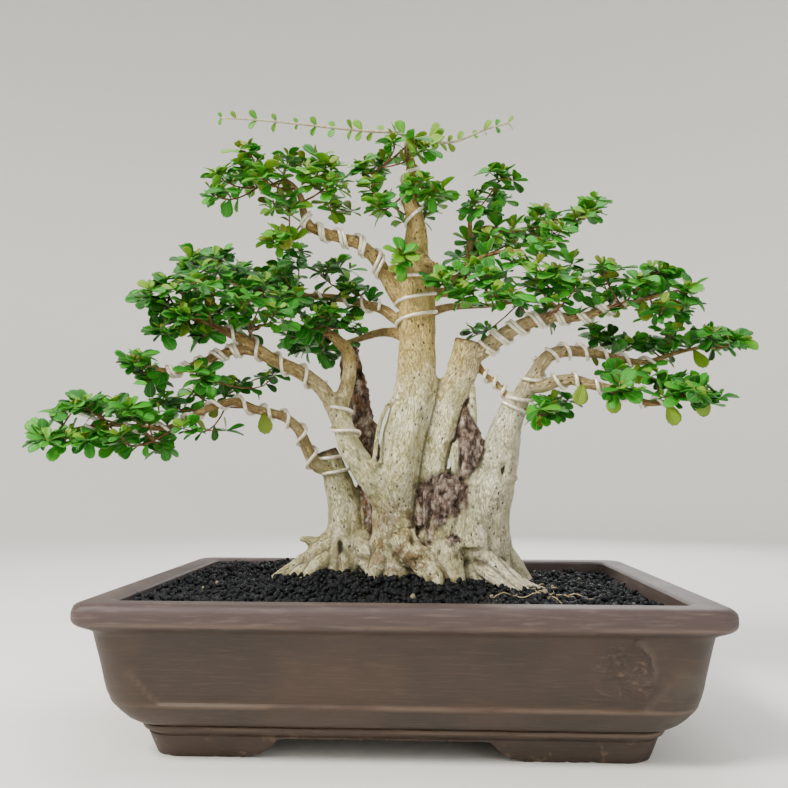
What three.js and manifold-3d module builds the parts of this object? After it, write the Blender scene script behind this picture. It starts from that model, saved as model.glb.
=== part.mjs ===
// A fukien tea bonsai in its unglazed clay pot, in millimetres with +Z up.
// The tree stands in the middle of the pot, X runs along the pot's front and Y away from the viewer.
// While it is being made, everything is placed from the point on the ground under the pot's centre.

import * as THREE from 'three';
import { mergeVertices } from 'three/addons/utils/BufferGeometryUtils.js';
import Module from 'manifold-3d';

const wasm = await Module();
wasm.setup();

// Driving dimensions of the pot
const POT_LENGTH = 550;
const POT_DEPTH = 400;
const POT_HEIGHT = 137;
const LIP_WIDTH = 30;
const BELLY_HEIGHT = 18;
const FLOOR_TOP = 32;
const FOOT_GAP_TOP = 184;
const FOOT_GAP_BOTTOM = 240;
const FOOT_GAP_SHIFT = -14;
const SIDE_GAP_TOP = 110;
const SIDE_GAP_BOTTOM = 150;
const PANEL_DEPTH = 1.6;
const DRAIN_RADIUS = 12;
const DRAIN_SPACING = 230;
const CORNER_STEPS = 3;
const SOIL_EDGE = 120;

// Driving dimensions of the plant, its wires and the clearances
const GAP = 0.4;
const WIRE_GAP = 0.7;
const SCREEN_SIZE = 42;
const SCREEN_THICKNESS = 1.2;
const WIRE_RADIUS = 1.8;
const WIRE_SIDES = 3;
const WIRE_STEPS_PER_TURN = 6;
const WIRE_LEAST_STEPS = 6;
const LEAF_LENGTH = 22;
const LEAF_WIDTH = 12.5;
const LEAF_THICKNESS = 0.75;
const TWIG_RADIUS = 1.25;
const LEAF_FOLD = 0.3;
const LEAF_DROOP = 2.2;
const LEAF_PAIRS_PER_WHIP = 3;
const WHIP_SIDES = 4;
const HUB_RADIUS = 1.5;
const TWIG_OFFSET = 3;
const ROOT_SLIDES = [0, 0.02, -0.02, 0.04, -0.04, 0.06, -0.06, 0.08, -0.08];

// The woody limbs: points along each one's middle as x, y, z and the radius there
const LIMBS = {
  trunk_main: [
    [-9, 22, 104, 33], [-11, 22, 157, 28.4], [-12, 20, 185, 24], [-12, 18, 215, 22.5], [-6, 14, 250, 23],
    [-2, 12, 283, 23], [6, 12, 320, 23.7], [12, 12, 354, 22], [13, 10, 388, 20.6], [12, 10, 428, 20],
    [10, 8, 461, 20.7], [8, 7, 484, 18],
  ],
  leader: [
    [8, 8, 467, 17.9], [11, 6, 495, 14.5], [13, 5, 524, 10.2], [6, 4, 549, 9], [3, 3, 566, 8.4],
    [7, 2, 589, 5.9], [3, 0, 609, 4.5], [4, 0, 630, 3],
  ],
  trunk_left: [
    [-62, 48, 104, 30], [-65, 46, 150, 28], [-66, 45, 177, 23.7], [-68, 42, 205, 19.7], [-75, 38, 233, 15.8],
    [-83, 34, 256, 12.9], [-88, 32, 273, 10],
  ],
  trunk_fork: [
    [-8, 14, 190, 18], [-16, 12, 212, 17.4], [-29, 8, 232, 16.3], [-45, 4, 252, 14], [-58, 1, 272, 13],
    [-65, 0, 291, 11.9], [-71, 0, 310, 10.3], [-72, 2, 322, 9],
  ],
  trunk_mid: [
    [24, 20, 190, 18], [29, 18, 242, 16.5], [33, 16, 267, 15.9], [40, 14, 300, 16.5], [49, 12, 329, 17.1],
    [59, 10, 360, 17.6], [67, 8, 392, 17],
  ],
  trunk_right: [
    [85, 22, 104, 31], [87, 22, 148, 27.2], [87, 20, 175, 26.1], [87, 16, 205, 27.2], [94, 12, 235, 26.1],
    [103, 8, 263, 20.6], [109, 4, 291, 17.3], [116, 0, 315, 14.1], [121, -3, 332, 10.5],
  ],
  dead_trunk: [
    [-30, 42, 180, 18], [-39, 56, 245, 16.1], [-47, 64, 280, 15.7], [-56, 72, 319, 14.8], [-64, 80, 356, 13.2],
    [-69, 86, 396, 10.9],
  ],
  dead_knob: [
    [57, 14, 180, 16], [62, 12, 229, 14.1], [64, 8, 259, 17.4], [66, 8, 283, 16.3], [65, 10, 307, 9.9],
    [63, 12, 327, 4.4],
  ],
  dead_hollow: [[36, 20, 104, 22], [38, 18, 153, 23], [39, 18, 186, 23], [38, 17, 215, 21], [38, 18, 239, 13.1]],
  low_left: [
    [-85, 30, 250, 10.1], [-100, 24, 257, 7.8], [-109, 20, 274, 6.7], [-117, 15, 293, 6.1], [-130, 8, 306, 5.5],
    [-146, 2, 312, 5], [-162, -4, 315, 5], [-185, -10, 323, 4.6], [-206, -16, 317, 4.3], [-225, -22, 307, 3.8],
    [-244, -28, 295, 3.5], [-270, -34, 293, 3.2], [-300, -40, 296, 2.7], [-331, -46, 293, 2.3], [-350, -50, 289, 1.8],
  ],
  left: [
    [-72, 0, 304, 9.3], [-80, -2, 321, 8.7], [-89, -5, 336, 8.2], [-104, -8, 349, 7.8], [-120, -12, 358, 7.6],
    [-138, -16, 366, 7.1], [-155, -20, 376, 6.7], [-170, -24, 387, 5.9], [-187, -28, 395, 5.1], [-206, -32, 402, 4.3],
    [-225, -38, 410, 3.4], [-241, -44, 419, 2.5],
  ],
  left_lower: [
    [-150, -18, 372, 5.4], [-164, -22, 376, 4.9], [-179, -25, 377, 4.7], [-194, -28, 373, 4.6], [-210, -31, 365, 4.5],
    [-225, -34, 359, 4.2], [-241, -37, 353, 3.8], [-257, -40, 354, 2.9], [-272, -43, 358, 2.1],
  ],
  left_inner: [
    [-72, 2, 313, 9.3], [-68, 4, 329, 8.8], [-63, 8, 347, 8.4], [-62, 12, 365, 8.2], [-65, 16, 383, 7.6],
    [-76, 20, 395, 6.8], [-88, 24, 405, 5.1], [-105, 30, 419, 3.4], [-122, 36, 430, 2.3],
  ],
  right: [
    [69, 8, 369, 9.9], [82, 4, 379, 9.7], [98, -2, 390, 9], [115, -8, 400, 8.1], [136, -14, 409, 7.1],
    [160, -18, 413, 5.9], [184, -22, 412, 4.8], [209, -25, 418, 4], [233, -28, 424, 3.2], [261, -32, 431, 2.4],
    [286, -36, 437, 1.8],
  ],
  right_low: [
    [118, 0, 313, 12.4], [126, -6, 330, 10.7], [135, -12, 343, 9.1], [143, -17, 358, 8], [154, -20, 371, 7.2],
    [169, -18, 376, 6.6], [187, -14, 376, 5.6], [210, -8, 374, 4.6], [234, -2, 370, 3.9], [261, 2, 367, 3.3],
    [290, -2, 376, 2.7], [314, -6, 381, 2.1], [332, -10, 380, 1.6],
  ],
  right_lowest: [
    [135, -12, 340, 8], [146, -22, 338, 7.2], [158, -30, 342, 6.7], [175, -36, 343, 6], [193, -42, 337, 5.3],
    [211, -47, 332, 4.7], [230, -51, 324, 4], [247, -55, 317, 3.5], [268, -58, 319, 2.8], [288, -58, 326, 2],
    [298, -58, 329, 1.5],
  ],
  top_left: [
    [1, 8, 433, 10], [-11, 4, 447, 8.9], [-23, -2, 468, 7.7], [-37, -8, 487, 6.9], [-52, -13, 498, 6.6],
    [-69, -17, 502, 6.1], [-87, -20, 507, 5.7], [-102, -23, 513, 5.2], [-110, -24, 527, 4.7], [-113, -24, 544, 3.9],
    [-120, -25, 557, 3.1], [-131, -28, 566, 2.2],
  ],
  back_left: [
    [5, 14, 415, 7.8], [-10, 22, 420, 6.8], [-26, 30, 433, 5.9], [-48, 38, 441, 5.3], [-71, 46, 449, 4.9],
    [-102, 54, 454, 4.5], [-134, 60, 456, 3.9], [-169, 66, 465, 3.5], [-204, 70, 474, 3], [-237, 74, 484, 2.4],
  ],
  right_front: [
    [12, 4, 488, 5.6], [25, -6, 478, 4.4], [39, -14, 467, 3.8], [51, -20, 456, 3.8], [61, -24, 459, 3.5],
    [72, -28, 469, 3.2], [85, -32, 476, 2.8], [104, -36, 480, 2.3], [124, -40, 480, 1.9],
  ],
  right_upper: [
    [23, 8, 450, 7.2], [43, 16, 449, 5.6], [62, 26, 462, 4.5], [71, 34, 489, 4], [77, 38, 516, 3.7],
    [92, 40, 531, 3.5], [119, 42, 527, 3.3], [144, 44, 532, 2.9], [173, 46, 541, 2.5], [208, 48, 548, 1.8],
  ],
  right_top: [[72, 35, 495, 3.5], [74, 30, 514, 3], [74, 26, 543, 2.8], [79, 24, 561, 2.5], [94, 22, 574, 2.1]],
  far_left: [
    [4, 18, 396, 8], [-12, 42, 408, 6.5], [-34, 74, 414, 5], [-62, 106, 412, 4], [-94, 132, 408, 3], [-124, 152, 408, 2],
  ],
  far_right: [
    [14, 16, 414, 8], [26, 42, 430, 6.5], [48, 70, 444, 5], [78, 98, 452, 4], [108, 122, 458, 3], [134, 142, 466, 2],
  ],
  root_left: [[-78, 40, 178, 13.5], [-95, 34, 162, 11.1], [-113, 28, 149, 8.8], [-131, 22, 139, 6], [-150, 18, 128, 3.3]],
  root_left_front: [[-65, 40, 172, 14.6], [-67, 30, 156, 12.2], [-67, 24, 139, 8.8], [-68, 20, 125, 5.4]],
  root_left_inner: [[-59, 40, 178, 14.6], [-46, 30, 164, 12.2], [-33, 22, 154, 9.3], [-24, 16, 140, 5.4]],
  root_main: [[-6, 14, 175, 21.7], [5, 4, 159, 15], [18, -6, 149, 11.6], [31, -14, 142, 9.9], [41, -20, 129, 6.2]],
  root_middle: [[40, 2, 176, 13], [46, -4, 160, 13], [52, -8, 146, 11], [57, -13, 130, 7]],
  root_right_back: [[101, 24, 180, 14.2], [110, 26, 162, 9.8], [122, 26, 147, 8.2], [134, 28, 130, 6]],
  root_right_front: [
    [78, 8, 165, 15], [90, -6, 152, 10.5], [105, -18, 140, 7.2], [120, -30, 130, 5], [135, -40, 122, 3],
  ],
  root_right_fine: [[95, 4, 153, 8.5], [111, -4, 141, 5.3], [129, -10, 132, 3.6], [148, -17, 122, 2]],
  root_far_left: [[-66, 54, 172, 15], [-80, 72, 158, 11], [-92, 92, 148, 8], [-104, 112, 138, 5]],
  root_far_mid: [[-8, 32, 172, 17], [-4, 54, 156, 12], [4, 76, 146, 9], [10, 98, 132, 5]],
  root_far_right: [[88, 34, 168, 16], [94, 54, 152, 11], [104, 74, 140, 8], [114, 92, 126, 5]],
};

// How many sides each thick limb has, with the slim ones left at five
const THICK_SIDES = {
  trunk_main: 10, leader: 6, trunk_left: 8, trunk_fork: 7, trunk_mid: 8, trunk_right: 9,
  dead_trunk: 6, dead_knob: 6, dead_hollow: 6,
};
const SLIM_SIDES = 5;
const SLIM_STEPS = 0.67;
const WINDING_LIMBS = ['low_left', 'top_left'];
const BARK_RIBS = 0.05;

// The training wires: name, limb that each one climbs, first and last point of its way in steps along
// that limb's points, its turns, and the angle it starts at in degrees
const WIRES = [
  { name: 'wire_low_left', limb: 'low_left', from: 0.9, to: 13, turns: 9.5, start: 120 },
  { name: 'wire_left', limb: 'left', from: 2.2, to: 10.6, turns: 5.5, start: 30 },
  { name: 'wire_left_lower', limb: 'left_lower', from: 1.5, to: 6.6, turns: 5, start: 60 },
  { name: 'wire_top_left', limb: 'top_left', from: 1.6, to: 8, turns: 5, start: 65 },
  { name: 'wire_back_left', limb: 'back_left', from: 2, to: 7.2, turns: 5.5, start: 240 },
  { name: 'wire_right', limb: 'right', from: 1.4, to: 8, turns: 7, start: 290 },
  { name: 'wire_right_low', limb: 'right_low', from: 4, to: 10, turns: 6, start: 210 },
  { name: 'wire_right_lowest', limb: 'right_lowest', from: 1.6, to: 8, turns: 6, start: 70 },
  { name: 'wire_trunk', limb: 'trunk_main', from: 8.55, to: 8.95, turns: 0.62, start: 160 },
];

// The leafy sprays: the limb each one springs from, how far along it, and where its shoots end
const SPRAYS = [
  ['low_left', 1, [[-370, -60, 282], [-345, -40, 318]]],
  ['low_left', 0.84, [[-325, -60, 316]]],
  ['low_left', 0.68, [[-285, -65, 280]]],
  ['low_left', 0.45, [[-235, 10, 335]]],
  ['left_lower', 1, [[-277, -60, 360]]],
  ['left_lower', 0.6, [[-205, -60, 345]]],
  ['left', 1, [[-250, -50, 448], [-248, -70, 390]]],
  ['left', 0.9, [[-232, -20, 480]]],
  ['left', 0.74, [[-218, -72, 415]]],
  ['left', 0.55, [[-170, -50, 432]]],
  ['left_inner', 1, [[-135, 20, 440], [-140, 70, 410]]],
  ['left_inner', 0.75, [[-80, -15, 420]]],
  ['back_left', 1, [[-262, 65, 500], [-245, 100, 515]]],
  ['back_left', 0.78, [[-215, 40, 500]]],
  ['back_left', 0.55, [[-155, 90, 500]]],
  ['back_left', 0.3, [[-85, 80, 500]]],
  ['top_left', 1, [[-205, -30, 570]]],
  ['top_left', 0.9, [[-148, -65, 560], [-130, -15, 595]]],
  ['top_left', 0.8, [[-80, -35, 575]]],
  ['top_left', 0.7, [[-140, -45, 492]]],
  ['leader', 0.55, [[-28, -28, 535]]],
  ['leader', 0.7, [[38, -15, 555]]],
  ['leader', 0.9, [[-50, 0, 590], [20, -25, 600]]],
  ['leader', 0.05, [[-2, -42, 475]]],
  ['right_top', 1, [[110, 10, 584]]],
  ['right_upper', 1, [[214, 45, 552]]],
  ['right_upper', 0.7, [[165, 70, 560], [165, 10, 518]]],
  ['right_upper', 0.35, [[85, 60, 515]]],
  ['right_front', 1, [[155, -60, 450]]],
  ['right_front', 0.65, [[110, -70, 425]]],
  ['right_front', 0.3, [[62, -50, 430]]],
  ['right', 1, [[293, -45, 432]]],
  ['right', 0.84, [[285, 0, 462]]],
  ['right', 0.68, [[238, -62, 440]]],
  ['right', 0.45, [[175, -60, 438], [185, 15, 475]]],
  ['right_low', 1, [[350, -15, 388]]],
  ['right_low', 0.75, [[290, 25, 390]]],
  ['right_low', 0.5, [[230, 35, 400]]],
  ['right_lowest', 1, [[303, -60, 320]]],
  ['right_lowest', 0.75, [[270, -88, 325]]],
  ['right_lowest', 0.45, [[212, -78, 330]]],
  ['trunk_right', 0.93, [[152, -30, 312]]],
  ['far_left', 1, [[-138, 168, 412]]],
  ['far_right', 1, [[150, 158, 472]]],
];

// The two long shoots at the very top, which carry small leaves in pairs
const WHIPS = {
  whip_left: [[4, 0, 621], [-8, -1, 629], [-38, -4, 630], [-62, -7, 631], [-111, -12, 635], [-159, -18, 638],
    [-206, -24, 639]],
  whip_right: [[4, 0, 623], [25, 3, 626], [38, 5, 620], [60, 8, 623], [89, 12, 637], [118, 16, 647]],
};

const clay = new THREE.MeshStandardMaterial({ color: 0x4a352e, roughness: 0.72, metalness: 0 });
const soilGrain = new THREE.MeshStandardMaterial({ color: 0x14141a, roughness: 0.95, metalness: 0 });
const bark = new THREE.MeshStandardMaterial({ color: 0xb9a780, roughness: 0.85, metalness: 0 });
const aluminium = new THREE.MeshStandardMaterial({ color: 0xcfcabb, roughness: 0.38, metalness: 0.85 });
const leafGreen = new THREE.MeshStandardMaterial({ color: 0x3f8a2a, roughness: 0.42, metalness: 0 });
const meshPlastic = new THREE.MeshStandardMaterial({ color: 0x23262a, roughness: 0.6, metalness: 0 });

// A repeatable draw between 0 and 1
function draw(seed, index) {
  const value = Math.sin(seed * 12.9898 + index * 78.233) * 43758.5453;
  return value - Math.floor(value);
}

function solidFrom(geometry) {
  const bare = geometry.clone();
  bare.deleteAttribute('normal');
  bare.deleteAttribute('uv');
  const merged = mergeVertices(bare, 1e-4);
  return new wasm.Manifold(new wasm.Mesh({
    numProp: 3,
    vertProperties: new Float32Array(merged.attributes.position.array),
    triVerts: new Uint32Array(merged.index.array),
  }));
}

function geometryFrom(solid) {
  const mesh = solid.getMesh();
  const geometry = new THREE.BufferGeometry();
  geometry.setAttribute('position', new THREE.BufferAttribute(new Float32Array(mesh.vertProperties), 3));
  geometry.setIndex(new THREE.BufferAttribute(new Uint32Array(mesh.triVerts), 1));
  geometry.computeVertexNormals();
  return geometry;
}

// The largest closed body of a solid: loose scraps and sealed hollows inside it are left out
function wholeBody(solid) {
  const bodies = solid.decompose();
  return bodies.reduce((best, body) => (body.volume() > best.volume() ? body : best));
}

function boxSolid(x, y, z, sizeX, sizeY, sizeZ) {
  return solidFrom(new THREE.BoxGeometry(sizeX, sizeY, sizeZ).translate(x, y, z));
}

// Moves every vertex of a geometry to the point that place() gives for it
function reshape(geometry, place) {
  const position = geometry.attributes.position;
  for (let v = 0; v < position.count; v += 1) {
    const point = place(position.getX(v), position.getY(v), position.getZ(v), v);
    position.setXYZ(v, point.x, point.y, point.z);
  }
  return geometry;
}

// A rectangle with rounded corners, inset from the pot's rim, as points listed round from +X to +Y
function roundedOutline(inset, corner, longSteps, shortSteps) {
  const halfX = POT_LENGTH / 2 - inset - corner;
  const halfY = POT_DEPTH / 2 - inset - corner;
  const middles = [[halfX, halfY], [-halfX, halfY], [-halfX, -halfY], [halfX, -halfY]];
  const points = [];
  middles.forEach(([middleX, middleY], quarter) => {
    for (let step = 0; step <= CORNER_STEPS; step += 1) {
      const angle = (quarter + step / CORNER_STEPS) * (Math.PI / 2);
      points.push([middleX + corner * Math.cos(angle), middleY + corner * Math.sin(angle)]);
    }
    const sideSteps = quarter % 2 === 0 ? longSteps : shortSteps;
    const [startX, startY] = points[points.length - 1];
    const [nextX, nextY] = middles[(quarter + 1) % 4];
    const angle = (quarter + 1) * (Math.PI / 2);
    const endX = nextX + corner * Math.cos(angle);
    const endY = nextY + corner * Math.sin(angle);
    for (let step = 1; step < sideSteps; step += 1) {
      const part = step / sideSteps;
      points.push([startX + (endX - startX) * part, startY + (endY - startY) * part]);
    }
  });
  return points;
}

// A closed solid of stacked rings: each ring has a height, inset, corner and scale towards the middle
function ringSolid(rings, longSteps, shortSteps, height) {
  const count = roundedOutline(0, 1, longSteps, shortSteps).length;
  const profile = rings.map((ring, index) => new THREE.Vector2(ring.scale === 0 ? 0 : 1, index));
  const lathe = new THREE.LatheGeometry(profile, count);
  const outlines = rings.map((ring) => roundedOutline(ring.inset, ring.corner, longSteps, shortSteps));
  reshape(lathe, (x, y, z, v) => {
    const ring = rings[v % rings.length];
    const around = Math.floor(v / rings.length) % count;
    const [outlineX, outlineY] = outlines[v % rings.length][around];
    const pointX = outlineX * (ring.scale ?? 1);
    const pointY = outlineY * (ring.scale ?? 1);
    return new THREE.Vector3(pointX, pointY, ring.z ?? height(pointX, pointY));
  });
  return solidFrom(lathe);
}

// The pot's inner wall, from its lip down to the floor
const INNER_WALL = [
  { z: POT_HEIGHT - 2, inset: LIP_WIDTH, corner: 12 },
  { z: 62, inset: 35, corner: 18 },
  { z: 44, inset: 44, corner: 20 },
  { z: FLOOR_TOP, inset: 62, corner: 22 },
];

function potBody() {
  const outer = [
    { z: BELLY_HEIGHT, inset: 60, corner: 20, scale: 0 },
    { z: BELLY_HEIGHT, inset: 76, corner: 12 },
    { z: 0, inset: 76, corner: 12 },
    { z: 0, inset: 57, corner: 24 },
    { z: 20, inset: 50, corner: 26 },
    { z: 27, inset: 43.6, corner: 30 },
    { z: 36, inset: 33.5, corner: 32 },
    { z: 48, inset: 24.5, corner: 34 },
    { z: 60, inset: 20.5, corner: 33 },
    { z: 116, inset: 11.6, corner: 30 },
    { z: 117.5, inset: 3, corner: 20 },
    { z: 122, inset: 0, corner: 17 },
    { z: 133.5, inset: 0, corner: 17 },
    { z: POT_HEIGHT, inset: 3.5, corner: 16 },
  ];
  const floorMiddle = { z: FLOOR_TOP, inset: 62, corner: 22, scale: 0 };
  const lipEdge = { z: POT_HEIGHT, inset: LIP_WIDTH - 2, corner: 13 };
  return ringSolid([...outer, lipEdge, ...INNER_WALL, floorMiddle], 1, 1);
}

// The gap between two feet, a wide low arch with rounded shoulders, cut right through the foot ring
function footGap(topWidth, bottomWidth, depth) {
  const rise = BELLY_HEIGHT;
  const arch = new THREE.Shape();
  arch.moveTo(-bottomWidth / 2, -5);
  arch.lineTo(bottomWidth / 2, -5);
  arch.lineTo(bottomWidth / 2, 2);
  arch.quadraticCurveTo(topWidth / 2 + 6, 5, topWidth / 2 + 2, rise - 3);
  arch.lineTo(topWidth / 2 - 6, rise);
  arch.lineTo(-topWidth / 2 + 6, rise);
  arch.lineTo(-topWidth / 2 - 2, rise - 3);
  arch.quadraticCurveTo(-topWidth / 2 - 6, 5, -bottomWidth / 2, 2);
  arch.closePath();
  const prism = new THREE.ExtrudeGeometry(arch, { depth, bevelEnabled: false, curveSegments: 3 });
  prism.translate(0, 0, -depth / 2).rotateX(Math.PI / 2);
  return prism;
}

// A shallow panel sunk in one wall, lying along the wall's slope with its lower corners rounded
function wallPanel(halfLength, wallDistance, turn) {
  const low = 53;
  const high = 106;
  const round = 16;
  const outline = new THREE.Shape();
  outline.moveTo(-halfLength - 8, high);
  outline.lineTo(-halfLength, low + round);
  outline.quadraticCurveTo(-halfLength + 3, low, -halfLength + round + 3, low);
  outline.lineTo(halfLength - round - 3, low);
  outline.quadraticCurveTo(halfLength - 3, low, halfLength, low + round);
  outline.lineTo(halfLength + 8, high);
  outline.closePath();
  const slab = new THREE.ExtrudeGeometry(outline, { depth: 30, bevelEnabled: false, curveSegments: 3 });
  const slope = (20.5 - 11.6) / (116 - 60);
  const wallInset = (z) => 11.6 + (116 - z) * slope;
  reshape(slab, (x, y, z) => new THREE.Vector3(x, -(wallDistance - wallInset(y) - PANEL_DEPTH) - z, y));
  slab.rotateZ(turn);
  return slab;
}

function potSolid() {
  let pot = potBody();
  const feetAlongX = footGap(FOOT_GAP_TOP, FOOT_GAP_BOTTOM, POT_DEPTH).translate(FOOT_GAP_SHIFT, 0, 0);
  const feetAlongY = footGap(SIDE_GAP_TOP, SIDE_GAP_BOTTOM, POT_LENGTH).rotateZ(Math.PI / 2);
  pot = pot.subtract(solidFrom(feetAlongX)).subtract(solidFrom(feetAlongY));
  for (const turn of [0, Math.PI]) {
    pot = pot.subtract(solidFrom(wallPanel(200, POT_DEPTH / 2, turn)));
    pot = pot.subtract(solidFrom(wallPanel(126, POT_LENGTH / 2, turn + Math.PI / 2)));
  }
  for (const side of [-1, 1]) {
    const drain = new THREE.CylinderGeometry(DRAIN_RADIUS, DRAIN_RADIUS, 60, 12);
    drain.rotateX(Math.PI / 2).translate((side * DRAIN_SPACING) / 2, 0, FLOOR_TOP - 10);
    pot = pot.subtract(solidFrom(drain));
  }
  return pot;
}

// A square of plastic mesh over a drain hole, with slots that hold back the soil
function drainScreen(middleX) {
  const z = FLOOR_TOP + 0.3 + SCREEN_THICKNESS / 2;
  let screen = boxSolid(middleX, 0, z, SCREEN_SIZE, SCREEN_SIZE, SCREEN_THICKNESS);
  for (const offset of [-12, -4, 4, 12]) {
    screen = screen.subtract(boxSolid(middleX + offset, 0, z, 4, SCREEN_SIZE - 10, 3 * SCREEN_THICKNESS));
  }
  return geometryFrom(screen);
}

// The soil's top: high behind the left trunk, heaped round the trunks and lower to the right and front
function soilHeight(x, y) {
  const heap = 12 * Math.exp(-((x / 150) ** 2) - (((y - 25) / 95) ** 2));
  const mound = 12 * Math.exp(-(((x + 100) / 75) ** 2) - (((y - 95) / 60) ** 2));
  const grains = 1.2 * Math.sin(x * 0.21) * Math.cos(y * 0.17) + 0.8 * Math.sin(x * 0.07 + y * 0.11);
  const wallX = (POT_LENGTH / 2 - LIP_WIDTH - Math.abs(x)) / 40;
  const wallY = (POT_DEPTH / 2 - LIP_WIDTH - Math.abs(y)) / 40;
  const fade = Math.min(1, Math.max(0, Math.min(wallX, wallY)));
  return 127.5 - x * 0.018 + (heap + mound) * fade + grains;
}

// The soil fills the pot up to its heaped top, with a hole for the wood and pockets for the screens
function soilSolid(wood) {
  const besideWall = (ring) => ({ z: ring.z, inset: ring.inset + GAP, corner: ring.corner - GAP });
  const [lip, wall, bend, floor] = INNER_WALL.map(besideWall);
  floor.z += GAP;
  const share = (SOIL_EDGE - wall.z) / (lip.z - wall.z);
  const mix = (key) => THREE.MathUtils.lerp(wall[key], lip[key], share);
  const edge = { z: SOIL_EDGE, inset: mix('inset'), corner: mix('corner') };
  const top = [0.985, 0.78, 0.52, 0.26, 0].map((scale) => ({ ...edge, z: undefined, scale }));
  let soil = ringSolid([{ ...floor, scale: 0 }, floor, bend, wall, edge, ...top], 4, 3, soilHeight);
  soil = soil.subtract(wood);
  for (const side of [-1, 1]) {
    const pocket = SCREEN_SIZE + 2 * GAP;
    const tall = 2 * (SCREEN_THICKNESS + 2 * GAP);
    soil = soil.subtract(boxSolid((side * DRAIN_SPACING) / 2, 0, FLOOR_TOP + 0.3, pocket, pocket, tall));
  }
  return wholeBody(soil);
}

// The middle line and the radius of a limb, at a place counted in steps along its points
function limbCurve(points) {
  return new THREE.CatmullRomCurve3(points.map(([x, y, z]) => new THREE.Vector3(x, y, z)), false, 'catmullrom', 0.5);
}

function limbRadius(points, place) {
  const low = Math.min(points.length - 2, Math.floor(place));
  return THREE.MathUtils.lerp(points[low][3], points[low + 1][3], place - low);
}

// A tapering tube along a limb's points, its section swelling into ribs where ribs is above 0
function limbTube(points, sides, steps, extra, ribs) {
  const curve = limbCurve(points);
  const tube = new THREE.CylinderGeometry(1, 1, 1, sides, steps);
  const places = [];
  let side = new THREE.Vector3(1, 0, 0);
  for (let step = 0; step <= steps; step += 1) {
    const share = step / steps;
    const along = curve.getTangent(share);
    side = side.clone().addScaledVector(along, -side.dot(along)).normalize();
    const middle = curve.getPoint(share);
    if (step === 0) middle.addScaledVector(along, -extra);
    if (step === steps) middle.addScaledVector(along, extra);
    const radius = limbRadius(points, share * (points.length - 1));
    places.push({ middle, side, across: new THREE.Vector3().crossVectors(along, side), radius });
  }
  return reshape(tube, (x, y, z) => {
    const at = places[Math.round((y + 0.5) * steps)];
    const angle = Math.atan2(z, x);
    const height = curve.getPoint(y + 0.5).z;
    const swell = 1 + ribs * (Math.cos(3 * angle + height * 0.021) + 0.7 * Math.cos(5 * angle - height * 0.033));
    const reach = Math.hypot(x, z) * (at.radius * swell + extra);
    return at.middle.clone()
      .addScaledVector(at.side, -reach * Math.cos(angle))
      .addScaledVector(at.across, reach * Math.sin(angle));
  });
}

function limbSolid(name, extra) {
  const sides = THICK_SIDES[name] ?? SLIM_SIDES;
  const isThick = sides > SLIM_SIDES;
  const spans = LIMBS[name].length - 1;
  const isWinding = isThick || WINDING_LIMBS.includes(name);
  const steps = isWinding ? spans : Math.max(3, Math.round(spans * SLIM_STEPS));
  return solidFrom(limbTube(LIMBS[name], sides, steps, extra, isThick ? BARK_RIBS : 0));
}

function woodSolid(extra) {
  return wasm.Manifold.union(Object.keys(LIMBS).map((name) => limbSolid(name, extra)));
}

// How many straight pieces a wound wire has
function wireSteps(wire) {
  return Math.max(WIRE_LEAST_STEPS, Math.round(wire.turns * WIRE_STEPS_PER_TURN));
}

// The middle of a wire wound round a limb, far enough out for its straight pieces to clear the bark
class WoundWire extends THREE.Curve {
  constructor(wire, extra) {
    super();
    this.wire = wire;
    this.points = LIMBS[wire.limb];
    this.limb = limbCurve(this.points);
    this.lift = WIRE_RADIUS + extra;
    this.chord = Math.cos((Math.PI * wire.turns) / wireSteps(wire));
  }

  getPoint(t) {
    const { from, to, turns, start } = this.wire;
    const place = from + (to - from) * t;
    const u = place / (this.points.length - 1);
    const along = this.limb.getTangent(u);
    const side = new THREE.Vector3(0, 1, 0).cross(along).normalize();
    const across = new THREE.Vector3().crossVectors(along, side);
    const reach = (limbRadius(this.points, place) + this.lift) / this.chord;
    const angle = THREE.MathUtils.degToRad(start) + 2 * Math.PI * turns * t;
    return this.limb.getPoint(u)
      .addScaledVector(side, reach * Math.cos(angle))
      .addScaledVector(across, reach * Math.sin(angle));
  }
}

function wireGeometry(wire, swell) {
  const section = new THREE.Shape();
  for (let corner = 0; corner < WIRE_SIDES; corner += 1) {
    const angle = (corner / WIRE_SIDES) * 2 * Math.PI;
    const x = (WIRE_RADIUS + swell) * Math.cos(angle);
    const y = (WIRE_RADIUS + swell) * Math.sin(angle);
    if (corner === 0) section.moveTo(x, y);
    else section.lineTo(x, y);
  }
  section.closePath();
  return new THREE.ExtrudeGeometry(section, {
    steps: wireSteps(wire), extrudePath: new WoundWire(wire, WIRE_GAP),
  });
}

// A slim three-sided twig on a curve with one bend
function twigTube(start, middle, end, radius, swell) {
  const curve = new THREE.QuadraticBezierCurve3(start, middle, end);
  const points = [0, 0.33, 0.67, 1].map((share) => {
    const at = curve.getPoint(share);
    return [at.x, at.y, at.z, radius * (1 - 0.3 * share)];
  });
  return { curve, solid: solidFrom(limbTube(points, 3, 2, swell, 0)) };
}

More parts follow.
